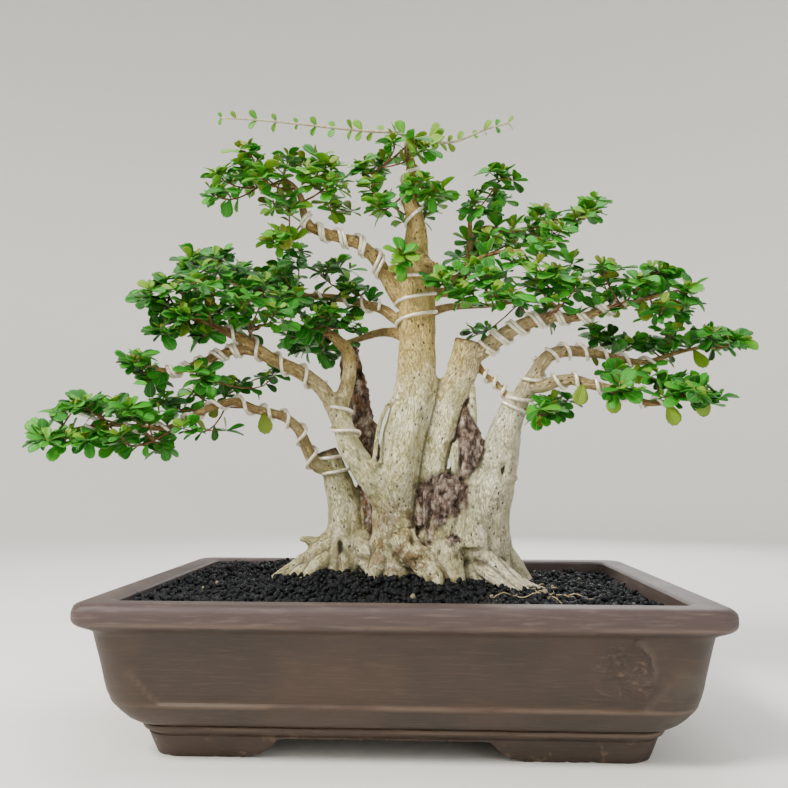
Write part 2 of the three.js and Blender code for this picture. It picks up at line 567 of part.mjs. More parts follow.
// How leaf number index of a rosette lies: which way it points, its width, its upper face and its size
function leafFrame(hub, index) {
  const { normal, first, second, leaves, seed } = hub;
  const azimuth = ((index + 0.5) / leaves) * 2 * Math.PI;
  const radial = first.clone().multiplyScalar(Math.cos(azimuth)).addScaledVector(second, Math.sin(azimuth));
  const tangent = new THREE.Vector3().crossVectors(normal, radial);
  const lift = -0.15 + 0.85 * draw(seed, index * 3 + 1);
  const twist = 0.8 * (draw(seed, index * 3 + 2) - 0.5);
  const along = radial.multiplyScalar(Math.cos(lift)).addScaledVector(normal, Math.sin(lift));
  const upright = new THREE.Vector3().crossVectors(along, tangent);
  const across = tangent.multiplyScalar(Math.cos(twist)).addScaledVector(upright, Math.sin(twist));
  const face = new THREE.Vector3().crossVectors(along, across);
  const size = hub.size * (0.8 + 0.4 * draw(seed, index * 3 + 3));
  return { along, across, face, size };
}

// A rosette's middle, facing up and to the light, tilted another way at each attempt
function rosetteHub(place, heading, seed, attempt, kind, size) {
  const tilt = (index) => draw(seed, 40 + index + 3 * attempt) - 0.5;
  const normal = heading.clone().multiplyScalar(0.4)
    .add(new THREE.Vector3(0.9 * tilt(0), 0.9 * tilt(1) - 0.3, 0.9 + 0.5 * tilt(2)))
    .normalize();
  const first = new THREE.Vector3(1, 0, 0).addScaledVector(normal, -normal.x).normalize();
  const second = new THREE.Vector3().crossVectors(normal, first);
  return { place, normal, first, second, seed, size, leaves: kind.leaves, edge: kind.edge };
}

// A leaf's edge from one side to the other, its width and length as shares: a grown leaf has a notch
// between two teeth at its tip, and the young leaves of a long shoot stand in pairs with plain tips
const GROWN_EDGE = [[-0.5, 0.6], [-0.3, 0.97], [0, 0.91], [0.3, 0.97], [0.5, 0.6]];
const GROWN_ROSETTES = [{ leaves: 5, edge: GROWN_EDGE }, { leaves: 4, edge: GROWN_EDGE }];
const YOUNG_PAIR = { leaves: 2, edge: [[-0.5, 0.55], [0, 1], [0.5, 0.55]] };

// A rosette of leaves as one lobed blade, each leaf folded along its rib and drooping at its tip
function rosetteSolid(hub, swell) {
  const perLeaf = hub.edge.length + 1;
  const rim = perLeaf * hub.leaves;
  const disc = new THREE.CylinderGeometry(1, 1, LEAF_THICKNESS + 2 * swell, rim, 1);
  reshape(disc, (x, y, z) => {
    const point = hub.place.clone();
    if (Math.hypot(x, z) < 0.5) return point.addScaledVector(hub.normal, y);
    const around = Math.round((Math.atan2(x, z) / (2 * Math.PI) + 1) * rim) % rim;
    const index = Math.floor(around / perLeaf);
    if (around % perLeaf === 0) {
      const azimuth = (index / hub.leaves) * 2 * Math.PI;
      return point.addScaledVector(hub.first, HUB_RADIUS * Math.cos(azimuth))
        .addScaledVector(hub.second, HUB_RADIUS * Math.sin(azimuth))
        .addScaledVector(hub.normal, y);
    }
    const { along, across, face, size } = leafFrame(hub, index);
    const [width, length] = hub.edge[(around % perLeaf) - 1];
    const fold = LEAF_FOLD * Math.abs(width) * LEAF_WIDTH;
    const droop = LEAF_DROOP * length * length;
    return point.addScaledVector(across, width * (LEAF_WIDTH * size + 2 * swell))
      .addScaledVector(along, length * (LEAF_LENGTH * size + swell))
      .addScaledVector(face, y + (fold - droop) * size);
  });
  return solidFrom(disc);
}

function boxOf(solid) {
  const { min, max } = solid.boundingBox();
  return new THREE.Box3(new THREE.Vector3(...min), new THREE.Vector3(...max));
}

// Whether a solid is clear of everything that stands in the list
function isClear(solid, others) {
  const box = boxOf(solid);
  return others.every((other) => !box.intersectsBox(other.box) || solid.intersect(other.solid).isEmpty());
}

// A rosette turned until it is clear of its neighbours, or null where there is no room
function freeRosette(place, heading, seed, kind, size, blockers) {
  for (let attempt = 0; attempt < 12; attempt += 1) {
    const hub = rosetteHub(place, heading, seed, attempt, kind, attempt < 6 ? size : size * 0.8);
    if (isClear(rosetteSolid(hub, GAP), blockers)) return hub;
  }
  return null;
}

// A twig that rises into a rosette from below, or null where what stands round it leaves no room
function freeTwig(start, hub, radius, blockers) {
  const { along, face } = leafFrame(hub, 0);
  const tip = hub.place.clone().addScaledVector(along, TWIG_OFFSET);
  const reach = start.distanceTo(tip);
  for (let attempt = 0; attempt < 9; attempt += 1) {
    const angle = attempt * (Math.PI / 4);
    const push = attempt === 0 ? 0 : 0.3 * reach;
    const middle = tip.clone().addScaledVector(face, -0.4 * reach);
    middle.x += push * Math.cos(angle);
    middle.y += push * Math.sin(angle);
    if (isClear(twigTube(start, middle, tip, radius, GAP).solid, blockers)) {
      return twigTube(start, middle, tip, radius, 0);
    }
  }
  return null;
}

// One spray: a twig from its limb to the first rosette, and side twigs to the others
function spraySolid([limb, share, ends], seed, limbParts, others) {
  const curve = limbCurve(LIMBS[limb]);
  const all = others.concat(limbParts);
  const pieces = [];
  let stem = null;
  ends.forEach((end, index) => {
    const place = new THREE.Vector3(...end);
    const heading = place.clone().sub(curve.getPoint(share)).normalize();
    const kind = GROWN_ROSETTES[(seed + index) % 2];
    const hub = freeRosette(place, heading, seed + index * 0.37, kind, 1, all);
    if (hub === null) return;
    let twig = null;
    if (stem !== null) twig = freeTwig(stem.curve.getPoint(0.35), hub, TWIG_RADIUS * 0.85, all);
    if (stem === null) {
      for (const slide of ROOT_SLIDES) {
        const root = curve.getPoint(THREE.MathUtils.clamp(share + slide, 0, 1));
        twig = twig ?? freeTwig(root, hub, TWIG_RADIUS, others);
      }
    }
    if (twig === null) return;
    stem = stem ?? twig;
    pieces.push(twig.solid, rosetteSolid(hub, 0));
  });
  if (stem === null) throw new Error(`a spray on ${limb} has no room at ${share}`);
  return wasm.Manifold.union(pieces);
}

// A long shoot with small leaves in pairs along it
function whipSolid(points, seed, others) {
  const last = points.length - 1;
  const tapered = points.map(([x, y, z], index) => [x, y, z, 2.4 - 1.2 * (index / last)]);
  const pieces = [solidFrom(limbTube(tapered, WHIP_SIDES, last, 0, 0))];
  const curve = limbCurve(points);
  for (let pair = 0; pair < LEAF_PAIRS_PER_WHIP; pair += 1) {
    const share = 0.4 + 0.57 * (pair / (LEAF_PAIRS_PER_WHIP - 1));
    const hub = freeRosette(curve.getPoint(share), curve.getTangent(share), seed + pair, YOUNG_PAIR, 0.5, others);
    if (hub !== null) pieces.push(rosetteSolid(hub, 0));
  }
  return wasm.Manifold.union(pieces);
}

const tree = new THREE.Group();

function add(name, geometry, material) {
  const mesh = new THREE.Mesh(geometry, material);
  mesh.name = name;
  tree.add(mesh);
}

add('pot', geometryFrom(potSolid()), clay);
add('drain_screen_left', drainScreen(-DRAIN_SPACING / 2), meshPlastic);
add('drain_screen_right', drainScreen(DRAIN_SPACING / 2), meshPlastic);
const woodWithRoom = woodSolid(GAP);
add('soil', geometryFrom(soilSolid(woodWithRoom)), soilGrain);
add('tree_wood', geometryFrom(wholeBody(woodSolid(0))), bark);

const obstacles = [];

function remember(name, solid) {
  obstacles.push({ name, solid, box: boxOf(solid) });
}

for (const wire of WIRES) {
  add(wire.name, wireGeometry(wire, 0), aluminium);
  remember(wire.name, solidFrom(wireGeometry(wire, GAP)));
}

const limbParts = Object.keys(LIMBS).map((name) => {
  const solid = limbSolid(name, 0);
  return { name, solid, box: boxOf(solid) };
});

const sprayCount = {};
SPRAYS.forEach((spray, index) => {
  const limb = spray[0];
  sprayCount[limb] = (sprayCount[limb] ?? 0) + 1;
  const grown = spraySolid(spray, index + 1, limbParts, obstacles);
  const trimmed = wholeBody(grown.subtract(woodWithRoom));
  const name = `spray_${limb}_${sprayCount[limb]}`;
  add(name, geometryFrom(trimmed), leafGreen);
  remember(name, trimmed);
});

Object.entries(WHIPS).forEach(([name, points], index) => {
  const grown = whipSolid(points, 60 + index * 10, obstacles);
  const trimmed = wholeBody(grown.subtract(woodWithRoom));
  add(name, geometryFrom(trimmed), leafGreen);
  remember(name, trimmed);
});

// The part's origin is on the ground under the middle of its whole box
const whole = new THREE.Box3().setFromObject(tree);
tree.position.set(-(whole.min.x + whole.max.x) / 2, -(whole.min.y + whole.max.y) / 2, -whole.min.z);
tree.updateMatrixWorld(true);

export default tree;
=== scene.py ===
"""A fukien tea bonsai in its clay pot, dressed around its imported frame, in metres with +Z up."""
import math

import bmesh
import bpy
import numpy as np
from bpy.props import FloatProperty, FloatVectorProperty, IntProperty, PointerProperty
from mathutils import Matrix, Vector, noise


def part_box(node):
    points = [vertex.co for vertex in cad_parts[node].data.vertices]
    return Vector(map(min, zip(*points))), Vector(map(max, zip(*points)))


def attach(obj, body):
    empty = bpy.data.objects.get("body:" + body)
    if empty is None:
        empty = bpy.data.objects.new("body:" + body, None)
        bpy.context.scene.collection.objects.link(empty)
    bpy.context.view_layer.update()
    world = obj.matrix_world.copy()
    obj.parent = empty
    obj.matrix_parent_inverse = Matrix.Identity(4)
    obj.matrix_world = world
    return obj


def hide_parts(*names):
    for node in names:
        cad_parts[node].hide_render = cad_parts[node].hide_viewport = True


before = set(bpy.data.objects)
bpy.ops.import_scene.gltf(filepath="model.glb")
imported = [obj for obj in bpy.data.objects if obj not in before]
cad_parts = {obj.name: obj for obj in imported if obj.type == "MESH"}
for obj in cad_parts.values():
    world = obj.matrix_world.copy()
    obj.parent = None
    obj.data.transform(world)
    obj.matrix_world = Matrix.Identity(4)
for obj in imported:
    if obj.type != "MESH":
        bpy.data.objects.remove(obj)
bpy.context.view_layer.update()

bl_info = {
    "name": "Fukien tea bonsai",
    "version": (1, 0, 0),
    "blender": (4, 5, 0),
    "location": "View3D > Sidebar > Bonsai",
    "description": "Bark, leaves, wires, grit and clay for a potted fukien tea bonsai",
    "category": "Object",
}

POT_LOW, POT_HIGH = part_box("pot")
POT_MIDDLE = (POT_LOW.x + POT_HIGH.x) / 2
MM = 0.001

# The pot's sizes in millimetres
POT_LENGTH = (POT_HIGH.x - POT_LOW.x) / MM
POT_DEPTH = (POT_HIGH.y - POT_LOW.y) / MM
LIP_WIDTH = 30
BELLY_HEIGHT = 18
FLOOR_TOP = 32
FOOT_GAP_TOP = 184
FOOT_GAP_BOTTOM = 240
FOOT_GAP_SHIFT = -14
SIDE_GAP_TOP = 110
SIDE_GAP_BOTTOM = 150
PANEL_DEPTH = 3.0
PANEL_HALF_FRONT = 226
PANEL_HALF_SIDE = 150
PANEL_CORNER_WIDTH = 24
PANEL_CORNER_HEIGHT = 27
RIDGE_HEIGHT = 51
BORDER_FULL_TO = 185
WALL_LOW = 53
WALL_HIGH = 102
DENT_X = 184
DENT_Z = 86
DRAIN_RADIUS = 12
DRAIN_SPACING = 230
SOIL_LEVEL = 127.5
SOIL_BOTTOM = 66

# The leaf, wire and twig sizes in millimetres, with the fold and droop of the frame's leaves
LEAF_LENGTH = 22
LEAF_WIDTH = 12.5
LEAF_FOLD = 0.3
LEAF_DROOP = 2.2
BLADE_THICKNESS = 0.75
WIRE_RADIUS = 2.0
TWIG_RADIUS = 1.25

# The leaf's outline: how far along it each row of corners lies, and the width there
LEAF_ROWS = (0.0, 0.2, 0.43, 0.67, 0.88, 1.0)
LEAF_WIDTHS = (0.07, 0.26, 0.47, 0.59, 0.49, 0.25)

# The kinds of leaf: fold along the rib, droop of the tip and twist
LEAF_FORMS = [(0.3, 2.2, 0.0), (0.22, 3.4, 0.3), (0.38, 1.2, -0.3), (0.28, -1.2, 0.2), (0.16, 4.4, 0.0),
              (0.34, 2.6, -0.5)]
GRAIN_FORMS = 5

# The woody limbs: points along each one's middle as x, y, z and the radius there, in millimetres
LIMBS = {
    "trunk_main": [
        (-9, 22, 104, 33), (-11, 22, 157, 28.4), (-12, 20, 185, 24), (-12, 18, 215, 22.5),
        (-6, 14, 250, 23), (-2, 12, 283, 23), (9, 12, 320, 23), (13, 12, 354, 22), (13, 10, 388, 20.6),
        (12, 10, 428, 20), (10, 8, 461, 20.7), (8, 7, 484, 18)],
    "leader": [
        (8, 8, 467, 17.9), (11, 6, 495, 14.5), (13, 5, 524, 10.2), (6, 4, 549, 9), (3, 3, 566, 8.4),
        (7, 2, 589, 5.9), (3, 0, 609, 4.5), (4, 0, 630, 3)],
    "trunk_left": [
        (-62, 48, 104, 30), (-65, 46, 150, 28), (-66, 45, 177, 23.7), (-68, 42, 205, 19.7),
        (-75, 38, 233, 15.8), (-83, 34, 256, 12.9), (-88, 32, 273, 10)],
    "trunk_fork": [
        (-8, 14, 190, 18), (-16, 12, 212, 17.4), (-29, 8, 232, 16.3), (-45, 4, 252, 14), (-58, 1, 272, 13),
        (-65, 0, 291, 11.9), (-71, 0, 310, 10.3), (-72, 2, 322, 9)],
    "trunk_mid": [
        (24, 20, 190, 18), (29, 18, 242, 16.5), (33, 16, 267, 15.9), (42, 14, 300, 16), (51, 12, 329, 16),
        (63, 10, 360, 16.5), (71, 8, 392, 16)],
    "trunk_right": [
        (85, 22, 104, 31), (87, 22, 148, 27.2), (87, 20, 175, 26.1), (87, 16, 205, 27.2),
        (94, 12, 235, 26.1), (103, 8, 263, 20.6), (109, 4, 291, 17.3), (116, 0, 315, 14.1),
        (121, -3, 332, 10.5)],
    "dead_trunk": [
        (-30, 42, 180, 18), (-39, 56, 245, 16.1), (-47, 64, 280, 15.7), (-56, 72, 319, 14.8),
        (-64, 80, 356, 13.2), (-69, 86, 396, 10.9)],
    "dead_knob": [
        (58, 14, 180, 15), (65, 12, 229, 13), (69, 8, 259, 15), (70, 8, 279, 14.5), (68, 9, 298, 10.5),
        (66, 10, 314, 6), (66, 11, 328, 3)],
    "dead_hollow": [
        (36, 20, 104, 22), (38, 18, 153, 23), (39, 18, 186, 23), (38, 17, 215, 21), (38, 18, 239, 13.1)],
    "low_left": [
        (-85, 30, 250, 10.1), (-100, 24, 257, 7.8), (-109, 20, 274, 6.7), (-117, 15, 293, 6.1),
        (-130, 8, 306, 5.5), (-146, 2, 312, 5), (-162, -4, 315, 5), (-185, -10, 323, 4.6),
        (-206, -16, 317, 4.3), (-225, -22, 307, 3.8), (-244, -28, 295, 3.5), (-270, -34, 293, 3.2),
        (-300, -40, 296, 2.7), (-331, -46, 293, 2.3), (-350, -50, 289, 1.8)],
    "left": [
        (-72, 0, 304, 9.3), (-80, -2, 321, 8.7), (-89, -5, 336, 8.2), (-104, -8, 349, 7.8),
        (-120, -12, 358, 7.6), (-138, -16, 366, 7.1), (-155, -20, 376, 6.7), (-170, -24, 387, 5.9),
        (-187, -28, 395, 5.1), (-206, -32, 402, 4.3), (-225, -38, 410, 3.4), (-241, -44, 419, 2.5)],
    "left_lower": [
        (-150, -18, 372, 5.4), (-164, -22, 376, 4.9), (-179, -25, 377, 4.7), (-194, -28, 373, 4.6),
        (-210, -31, 365, 4.5), (-225, -34, 359, 4.2), (-241, -37, 353, 3.8), (-257, -40, 354, 2.9),
        (-272, -43, 358, 2.1)],
    "left_inner": [
        (-72, 2, 313, 9.3), (-68, 4, 329, 8.8), (-63, 8, 347, 8.4), (-62, 12, 365, 8.2),
        (-65, 16, 383, 7.6), (-76, 20, 395, 6.8), (-88, 24, 405, 5.1), (-105, 30, 419, 3.4),
        (-122, 36, 430, 2.3)],
    "right": [
        (69, 8, 369, 9.9), (82, 4, 379, 9.7), (98, -2, 390, 9), (115, -8, 400, 8.1), (136, -14, 409, 7.1),
        (160, -18, 413, 5.9), (184, -22, 412, 4.8), (209, -25, 418, 4), (233, -28, 424, 3.2),
        (261, -32, 431, 2.4), (286, -36, 437, 1.8)],
    "right_low": [
        (118, 0, 313, 12.4), (126, -6, 330, 10.7), (135, -12, 343, 9.1), (143, -17, 358, 8),
        (154, -20, 371, 7.2), (169, -18, 376, 6.6), (187, -14, 376, 5.6), (210, -8, 374, 4.6),
        (234, -2, 370, 3.9), (261, 2, 367, 3.3), (290, -2, 376, 2.7), (314, -6, 381, 2.1),
        (332, -10, 380, 1.6)],
    "right_lowest": [
        (135, -12, 340, 8), (146, -22, 338, 7.2), (158, -30, 342, 6.7), (175, -36, 343, 6),
        (193, -42, 337, 5.3), (211, -47, 332, 4.7), (230, -51, 324, 4), (247, -55, 317, 3.5),
        (268, -58, 319, 2.8), (288, -58, 326, 2), (298, -58, 329, 1.5)],
    "top_left": [
        (1, 8, 433, 10), (-11, 4, 447, 8.9), (-23, -2, 468, 7.7), (-37, -8, 487, 6.9), (-52, -13, 498, 6.6),
        (-69, -17, 502, 6.1), (-87, -20, 507, 5.7), (-102, -23, 513, 5.2), (-110, -24, 527, 4.7),
        (-113, -24, 544, 3.9), (-120, -25, 557, 3.1), (-131, -28, 566, 2.2)],
    "back_left": [
        (5, 14, 415, 7.8), (-10, 22, 420, 6.8), (-26, 30, 433, 5.9), (-48, 38, 441, 5.3),
        (-71, 46, 449, 4.9), (-102, 54, 454, 4.5), (-134, 60, 456, 3.9), (-169, 66, 465, 3.5),
        (-204, 70, 474, 3), (-237, 74, 484, 2.4)],
    "right_front": [
        (12, 4, 488, 5.6), (25, -6, 478, 4.4), (39, -14, 467, 3.8), (51, -20, 456, 3.8),
        (61, -24, 459, 3.5), (72, -28, 469, 3.2), (85, -32, 476, 2.8), (104, -36, 480, 2.3),
        (124, -40, 480, 1.9)],
    "right_upper": [
        (23, 8, 450, 7.2), (43, 16, 449, 5.6), (62, 26, 462, 4.5), (71, 34, 489, 4), (77, 38, 516, 3.7),
        (92, 40, 531, 3.5), (119, 42, 527, 3.3), (144, 44, 532, 2.9), (173, 46, 541, 2.5),
        (208, 48, 548, 1.8)],
    "right_top": [
        (72, 35, 495, 3.5), (74, 30, 514, 3), (74, 26, 543, 2.8), (79, 24, 561, 2.5), (94, 22, 574, 2.1)],
    "far_left": [
        (4, 18, 396, 8), (-12, 42, 408, 6.5), (-34, 74, 414, 5), (-62, 106, 412, 4), (-94, 132, 408, 3),
        (-124, 152, 408, 2)],
    "far_right": [
        (14, 16, 414, 8), (26, 42, 430, 6.5), (48, 70, 444, 5), (78, 98, 452, 4), (108, 122, 458, 3),
        (134, 142, 466, 2)],
    "root_left": [
        (-78, 40, 178, 13.5), (-95, 34, 162, 11.1), (-113, 28, 149, 8.8), (-131, 22, 139, 6),
        (-150, 18, 128, 3.3)],
    "root_left_front": [
        (-65, 40, 172, 14.6), (-67, 30, 156, 12.2), (-67, 24, 139, 8.8), (-68, 20, 125, 5.4)],
    "root_left_inner": [
        (-59, 40, 178, 14.6), (-46, 30, 164, 12.2), (-33, 22, 154, 9.3), (-24, 16, 140, 5.4)],
    "root_main": [
        (-6, 14, 175, 21.7), (5, 4, 159, 15), (18, -6, 149, 11.6), (31, -14, 142, 9.9), (41, -20, 129, 6.2)],
    "root_middle": [(40, 2, 176, 13), (46, -4, 160, 13), (52, -8, 146, 11), (57, -13, 130, 7)],
    "root_right_back": [(101, 24, 180, 14.2), (110, 26, 162, 9.8), (122, 26, 147, 8.2), (134, 28, 130, 6)],
    "root_right_front": [
        (78, 8, 165, 15), (90, -6, 152, 10.5), (105, -18, 140, 7.2), (120, -30, 130, 5), (135, -40, 122, 3)],
    "root_right_fine": [(95, 4, 153, 8.5), (111, -4, 141, 5.3), (129, -10, 132, 3.6), (148, -17, 122, 2)],
    "root_far_left": [(-66, 54, 172, 15), (-80, 72, 158, 11), (-92, 92, 148, 8), (-104, 112, 138, 5)],
    "root_far_mid": [(-8, 32, 172, 17), (-4, 54, 156, 12), (4, 76, 146, 9), (10, 98, 132, 5)],
    "root_far_right": [(88, 34, 168, 16), (94, 54, 152, 11), (104, 74, 140, 8), (114, 92, 126, 5)],
}
THICK_LIMBS = ["trunk_main", "leader", "trunk_left", "trunk_fork", "trunk_mid", "trunk_right",
               "dead_trunk", "dead_knob", "dead_hollow"]
DEAD_LIMBS = ["dead_trunk", "dead_knob", "dead_hollow"]
BARK_RIBS = 0.05

# Fine roots, swellings and small growths that only the dressed tree has
FINE_WOOD = {
    "strip": [
        (-14, 3, 326, 2.2), (-20, 1, 318, 2.6), (-27, -1, 300, 2.6), (-31, -3, 276, 2.6),
        (-33, -4, 254, 2.8), (-35, -3, 236, 3), (-35, 0, 222, 3.4)],
    "edge": [(70, 8, 360, 3.4), (73, 6, 340, 4), (74, 6, 318, 4.4), (75, 7, 298, 4)],
    "nub": [(110, 3, 243, 5), (118, 1, 242, 3.6), (121, 0, 242, 2.4)],
    "stub": [(-98, 32, 172, 4.4), (-112, 30, 174, 3.6), (-117, 30, 174, 3)],
    "link": [(80, 10, 366, 4), (88, 6, 354, 3.2), (97, 2, 347, 3), (105, 0, 338, 3.2), (112, -2, 328, 4)],
    "stem_thin": [(48, 4, 214, 6), (50, 1, 236, 5.4), (52, 0, 260, 5), (55, 3, 280, 3.6)],
    "burl_main": [(2, -7, 186, 8), (7, -10, 172, 10), (13, -13, 158, 11)],
    "burl_middle": [(28, 0, 170, 8), (33, -2, 160, 9), (40, -3, 148, 9)],
    "burl_front": [(40, 3, 180, 14), (43, 1, 200, 15), (46, 1, 222, 14), (49, 3, 240, 10)],
    "burl_right": [(60, 2, 178, 12), (62, 2, 200, 12.5), (64, 3, 224, 11), (67, 5, 240, 8)],
    "shoulder": [
        (74, 6, 170, 19), (73, 6, 195, 18.5), (75, 7, 220, 17), (80, 8, 243, 14.5), (85, 9, 262, 11)],
    "foot": [(6, -2, 160, 14), (20, -12, 150, 12.5), (31, -20, 140, 10), (36, -25, 130, 7)],
    "root_small_2": [(100, 0, 152, 7), (118, -12, 138, 4.6), (136, -19, 130, 3), (158, -24, 125, 1.6)],
    "root_small_3": [(-108, 26, 148, 6), (-118, 14, 139, 4.6), (-127, 4, 133, 3.2), (-137, -3, 127, 2)],
    "root_small_4": [(-24, 8, 160, 12), (-30, -2, 148, 9), (-33, -10, 139, 6), (-36, -16, 130, 3)],
    "root_small_5": [(82, -2, 152, 10), (92, -20, 140, 7), (106, -34, 131, 4), (118, -46, 126, 2.4)],
    "root_small_6": [(-88, 32, 156, 9), (-98, 20, 146, 7.5), (-104, 10, 138, 5), (-110, 2, 130, 3)],
    "root_small_7": [(-52, 34, 158, 9), (-42, 22, 148, 8), (-36, 12, 140, 6), (-32, 4, 131, 4)],
}

# How the names of the thin limbs with pale bark start
PALE_LIMBS = ("root", "foot", "strip", "edge", "nub", "stub", "burl", "shoulder", "stem")

# Rotten patches in the living bark: middle, half-width, half-height
ROTTEN = [((36, -4, 217), 21, 31), ((21, -2, 209), 12, 34), ((54, -8, 228), 13, 22), ((50, -8, 178), 7, 6)]

# Hollows in the bark, darkened by the bark's painted shade where they are deep: middle, half-width,
# half-height and depth
HOLLOWS = [
    ((104, -12, 251), 3.6, 6.5, 6.5), ((-72, 15, 167), 4.5, 8, 7), ((8, -19, 178), 4, 6, 3),
    ((26, -14, 173), 3.4, 3.4, 4), ((36, -16, 164), 3, 4, 3), ((54, -9, 177), 2.6, 4, 3),
    ((99, -11, 211), 2.6, 5, 2.5), ((-41, 18, 190), 4, 16, 4), ((31, -8, 204), 4.4, 5.2, 7),
    ((-16, -8, 250), 3, 3, 2.2), ((101, -6, 190), 2.6, 2.6, 2), ((2, -9, 292), 2, 1.6, 1.6),
    ((-48, -14, 262), 2.4, 4, 2), ((45, -2, 262), 1.8, 2, 2), ((38, -2, 244), 1.8, 2.4, 2.4),
    ((12, -12, 402), 2, 2.5, 1.6), ((18, -4, 212), 3.4, 28, 5), ((47, -4, 250), 2.4, 10, 5),
    ((54, -14, 214), 3, 5, 3.5), ((40, -14, 226), 3.4, 2.4, 3), ((48, -14, 200), 2.6, 3.4, 3),
    ((70, -10, 205), 3, 2, 2.4), ((33, -12, 236), 2.6, 4, 3), ((32, -4, 258), 1.6, 2.2, 2.2),
    ((8, -10, 262), 1.6, 2, 1.8), ((86, -8, 186), 14, 0.9, 1.6),
]

# Rounded swellings of the bark: middle, radius and height
SWELLINGS = [
    ((-16, -8, 250), 9, 2.6), ((18, -10, 330), 14, 1.6), ((98, -12, 300), 9, 1.4),
    ((-72, 18, 190), 12, 2.2), ((93, -12, 226), 12, 2), ((108, -6, 182), 10, 2.4), ((-60, -8, 282), 8, 1.4),
    ((58, -4, 372), 9, 1.2), ((73, -4, 268), 9, 2.6), ((67, -6, 286), 7, 2.2), ((31, -4, 204), 9, 4.4),
    ((42, -6, 236), 7, 3), ((52, -6, 226), 6, 2.6), ((36, -6, 228), 6, 2.4), ((76, -8, 256), 6, 2.4),
    ((104, -12, 251), 8, 2), ((-72, 16, 169), 11, 3),
]

# The wires: node, limb, first and last point of the way in steps along the limb, turns, start in degrees
# and strands
WIRES = [
    ("wire_low_left", "low_left", 0.9, 13, 9.5, 120, 1),
    ("wire_left", "left", 2.2, 10.6, 5.5, 30, 1),
    ("wire_left_lower", "left_lower", 1.5, 6.6, 5, 60, 2),
    ("wire_top_left", "top_left", 1.6, 8, 5, 65, 2),
    ("wire_back_left", "back_left", 2, 7.2, 5.5, 240, 1),
    ("wire_right", "right", 1.4, 8, 7, 290, 2),
    ("wire_right_low", "right_low", 4, 10, 6, 210, 1),
    ("wire_right_lowest", "right_lowest", 1.6, 8, 6, 70, 1),
    ("wire_trunk", "trunk_main", 8.55, 8.95, 0.62, 160, 1),
]

# Further turns of the same wires, where each one is anchored or goes on: node, limb, first and last point,
# turns and start
ANCHOR_TURNS = [
    ("wire_trunk", "trunk_main", 9.15, 9.55, 0.72, 150),
    ("wire_trunk", "trunk_main", 10.12, 9.98, 0.72, 150),
    ("wire_left", "trunk_fork", 6.6, 4.6, 1.55, 200),
    ("wire_low_left", "trunk_left", 5.75, 4.5, 1.6, 150),
    ("wire_right_low", "right_low", 0.3, 3.4, 2.2, 120),
    ("wire_right_low", "trunk_right", 7.4, 6.9, 0.7, 170),
    ("wire_right", "link", 0.3, 3.6, 3, 20),
    ("wire_top_left", "leader", 1.6, 5.4, 3.2, 40),
    ("wire_right", "right_upper", 1.2, 2.6, 1.4, 60),
]

# The pairs of trunks with a seam between them that is sunk in and painted with shade, the height where it
# starts and how deep and darkly shaded it is
SEAMS = [
    ("trunk_main", "trunk_mid", 170, 0.5), ("trunk_main", "trunk_left", 170, 1),
    ("trunk_mid", "dead_knob", 245, 0.9), ("trunk_right", "dead_knob", 245, 0.7),
    ("trunk_main", "dead_hollow", 170, 1), ("trunk_mid", "stem_thin", 240, 1),
    ("shoulder", "dead_knob", 245, 0.7), ("dead_trunk", "trunk_main", 170, 1),
    ("dead_trunk", "trunk_fork", 170, 1), ("trunk_left", "trunk_fork", 170, 0.8),
]

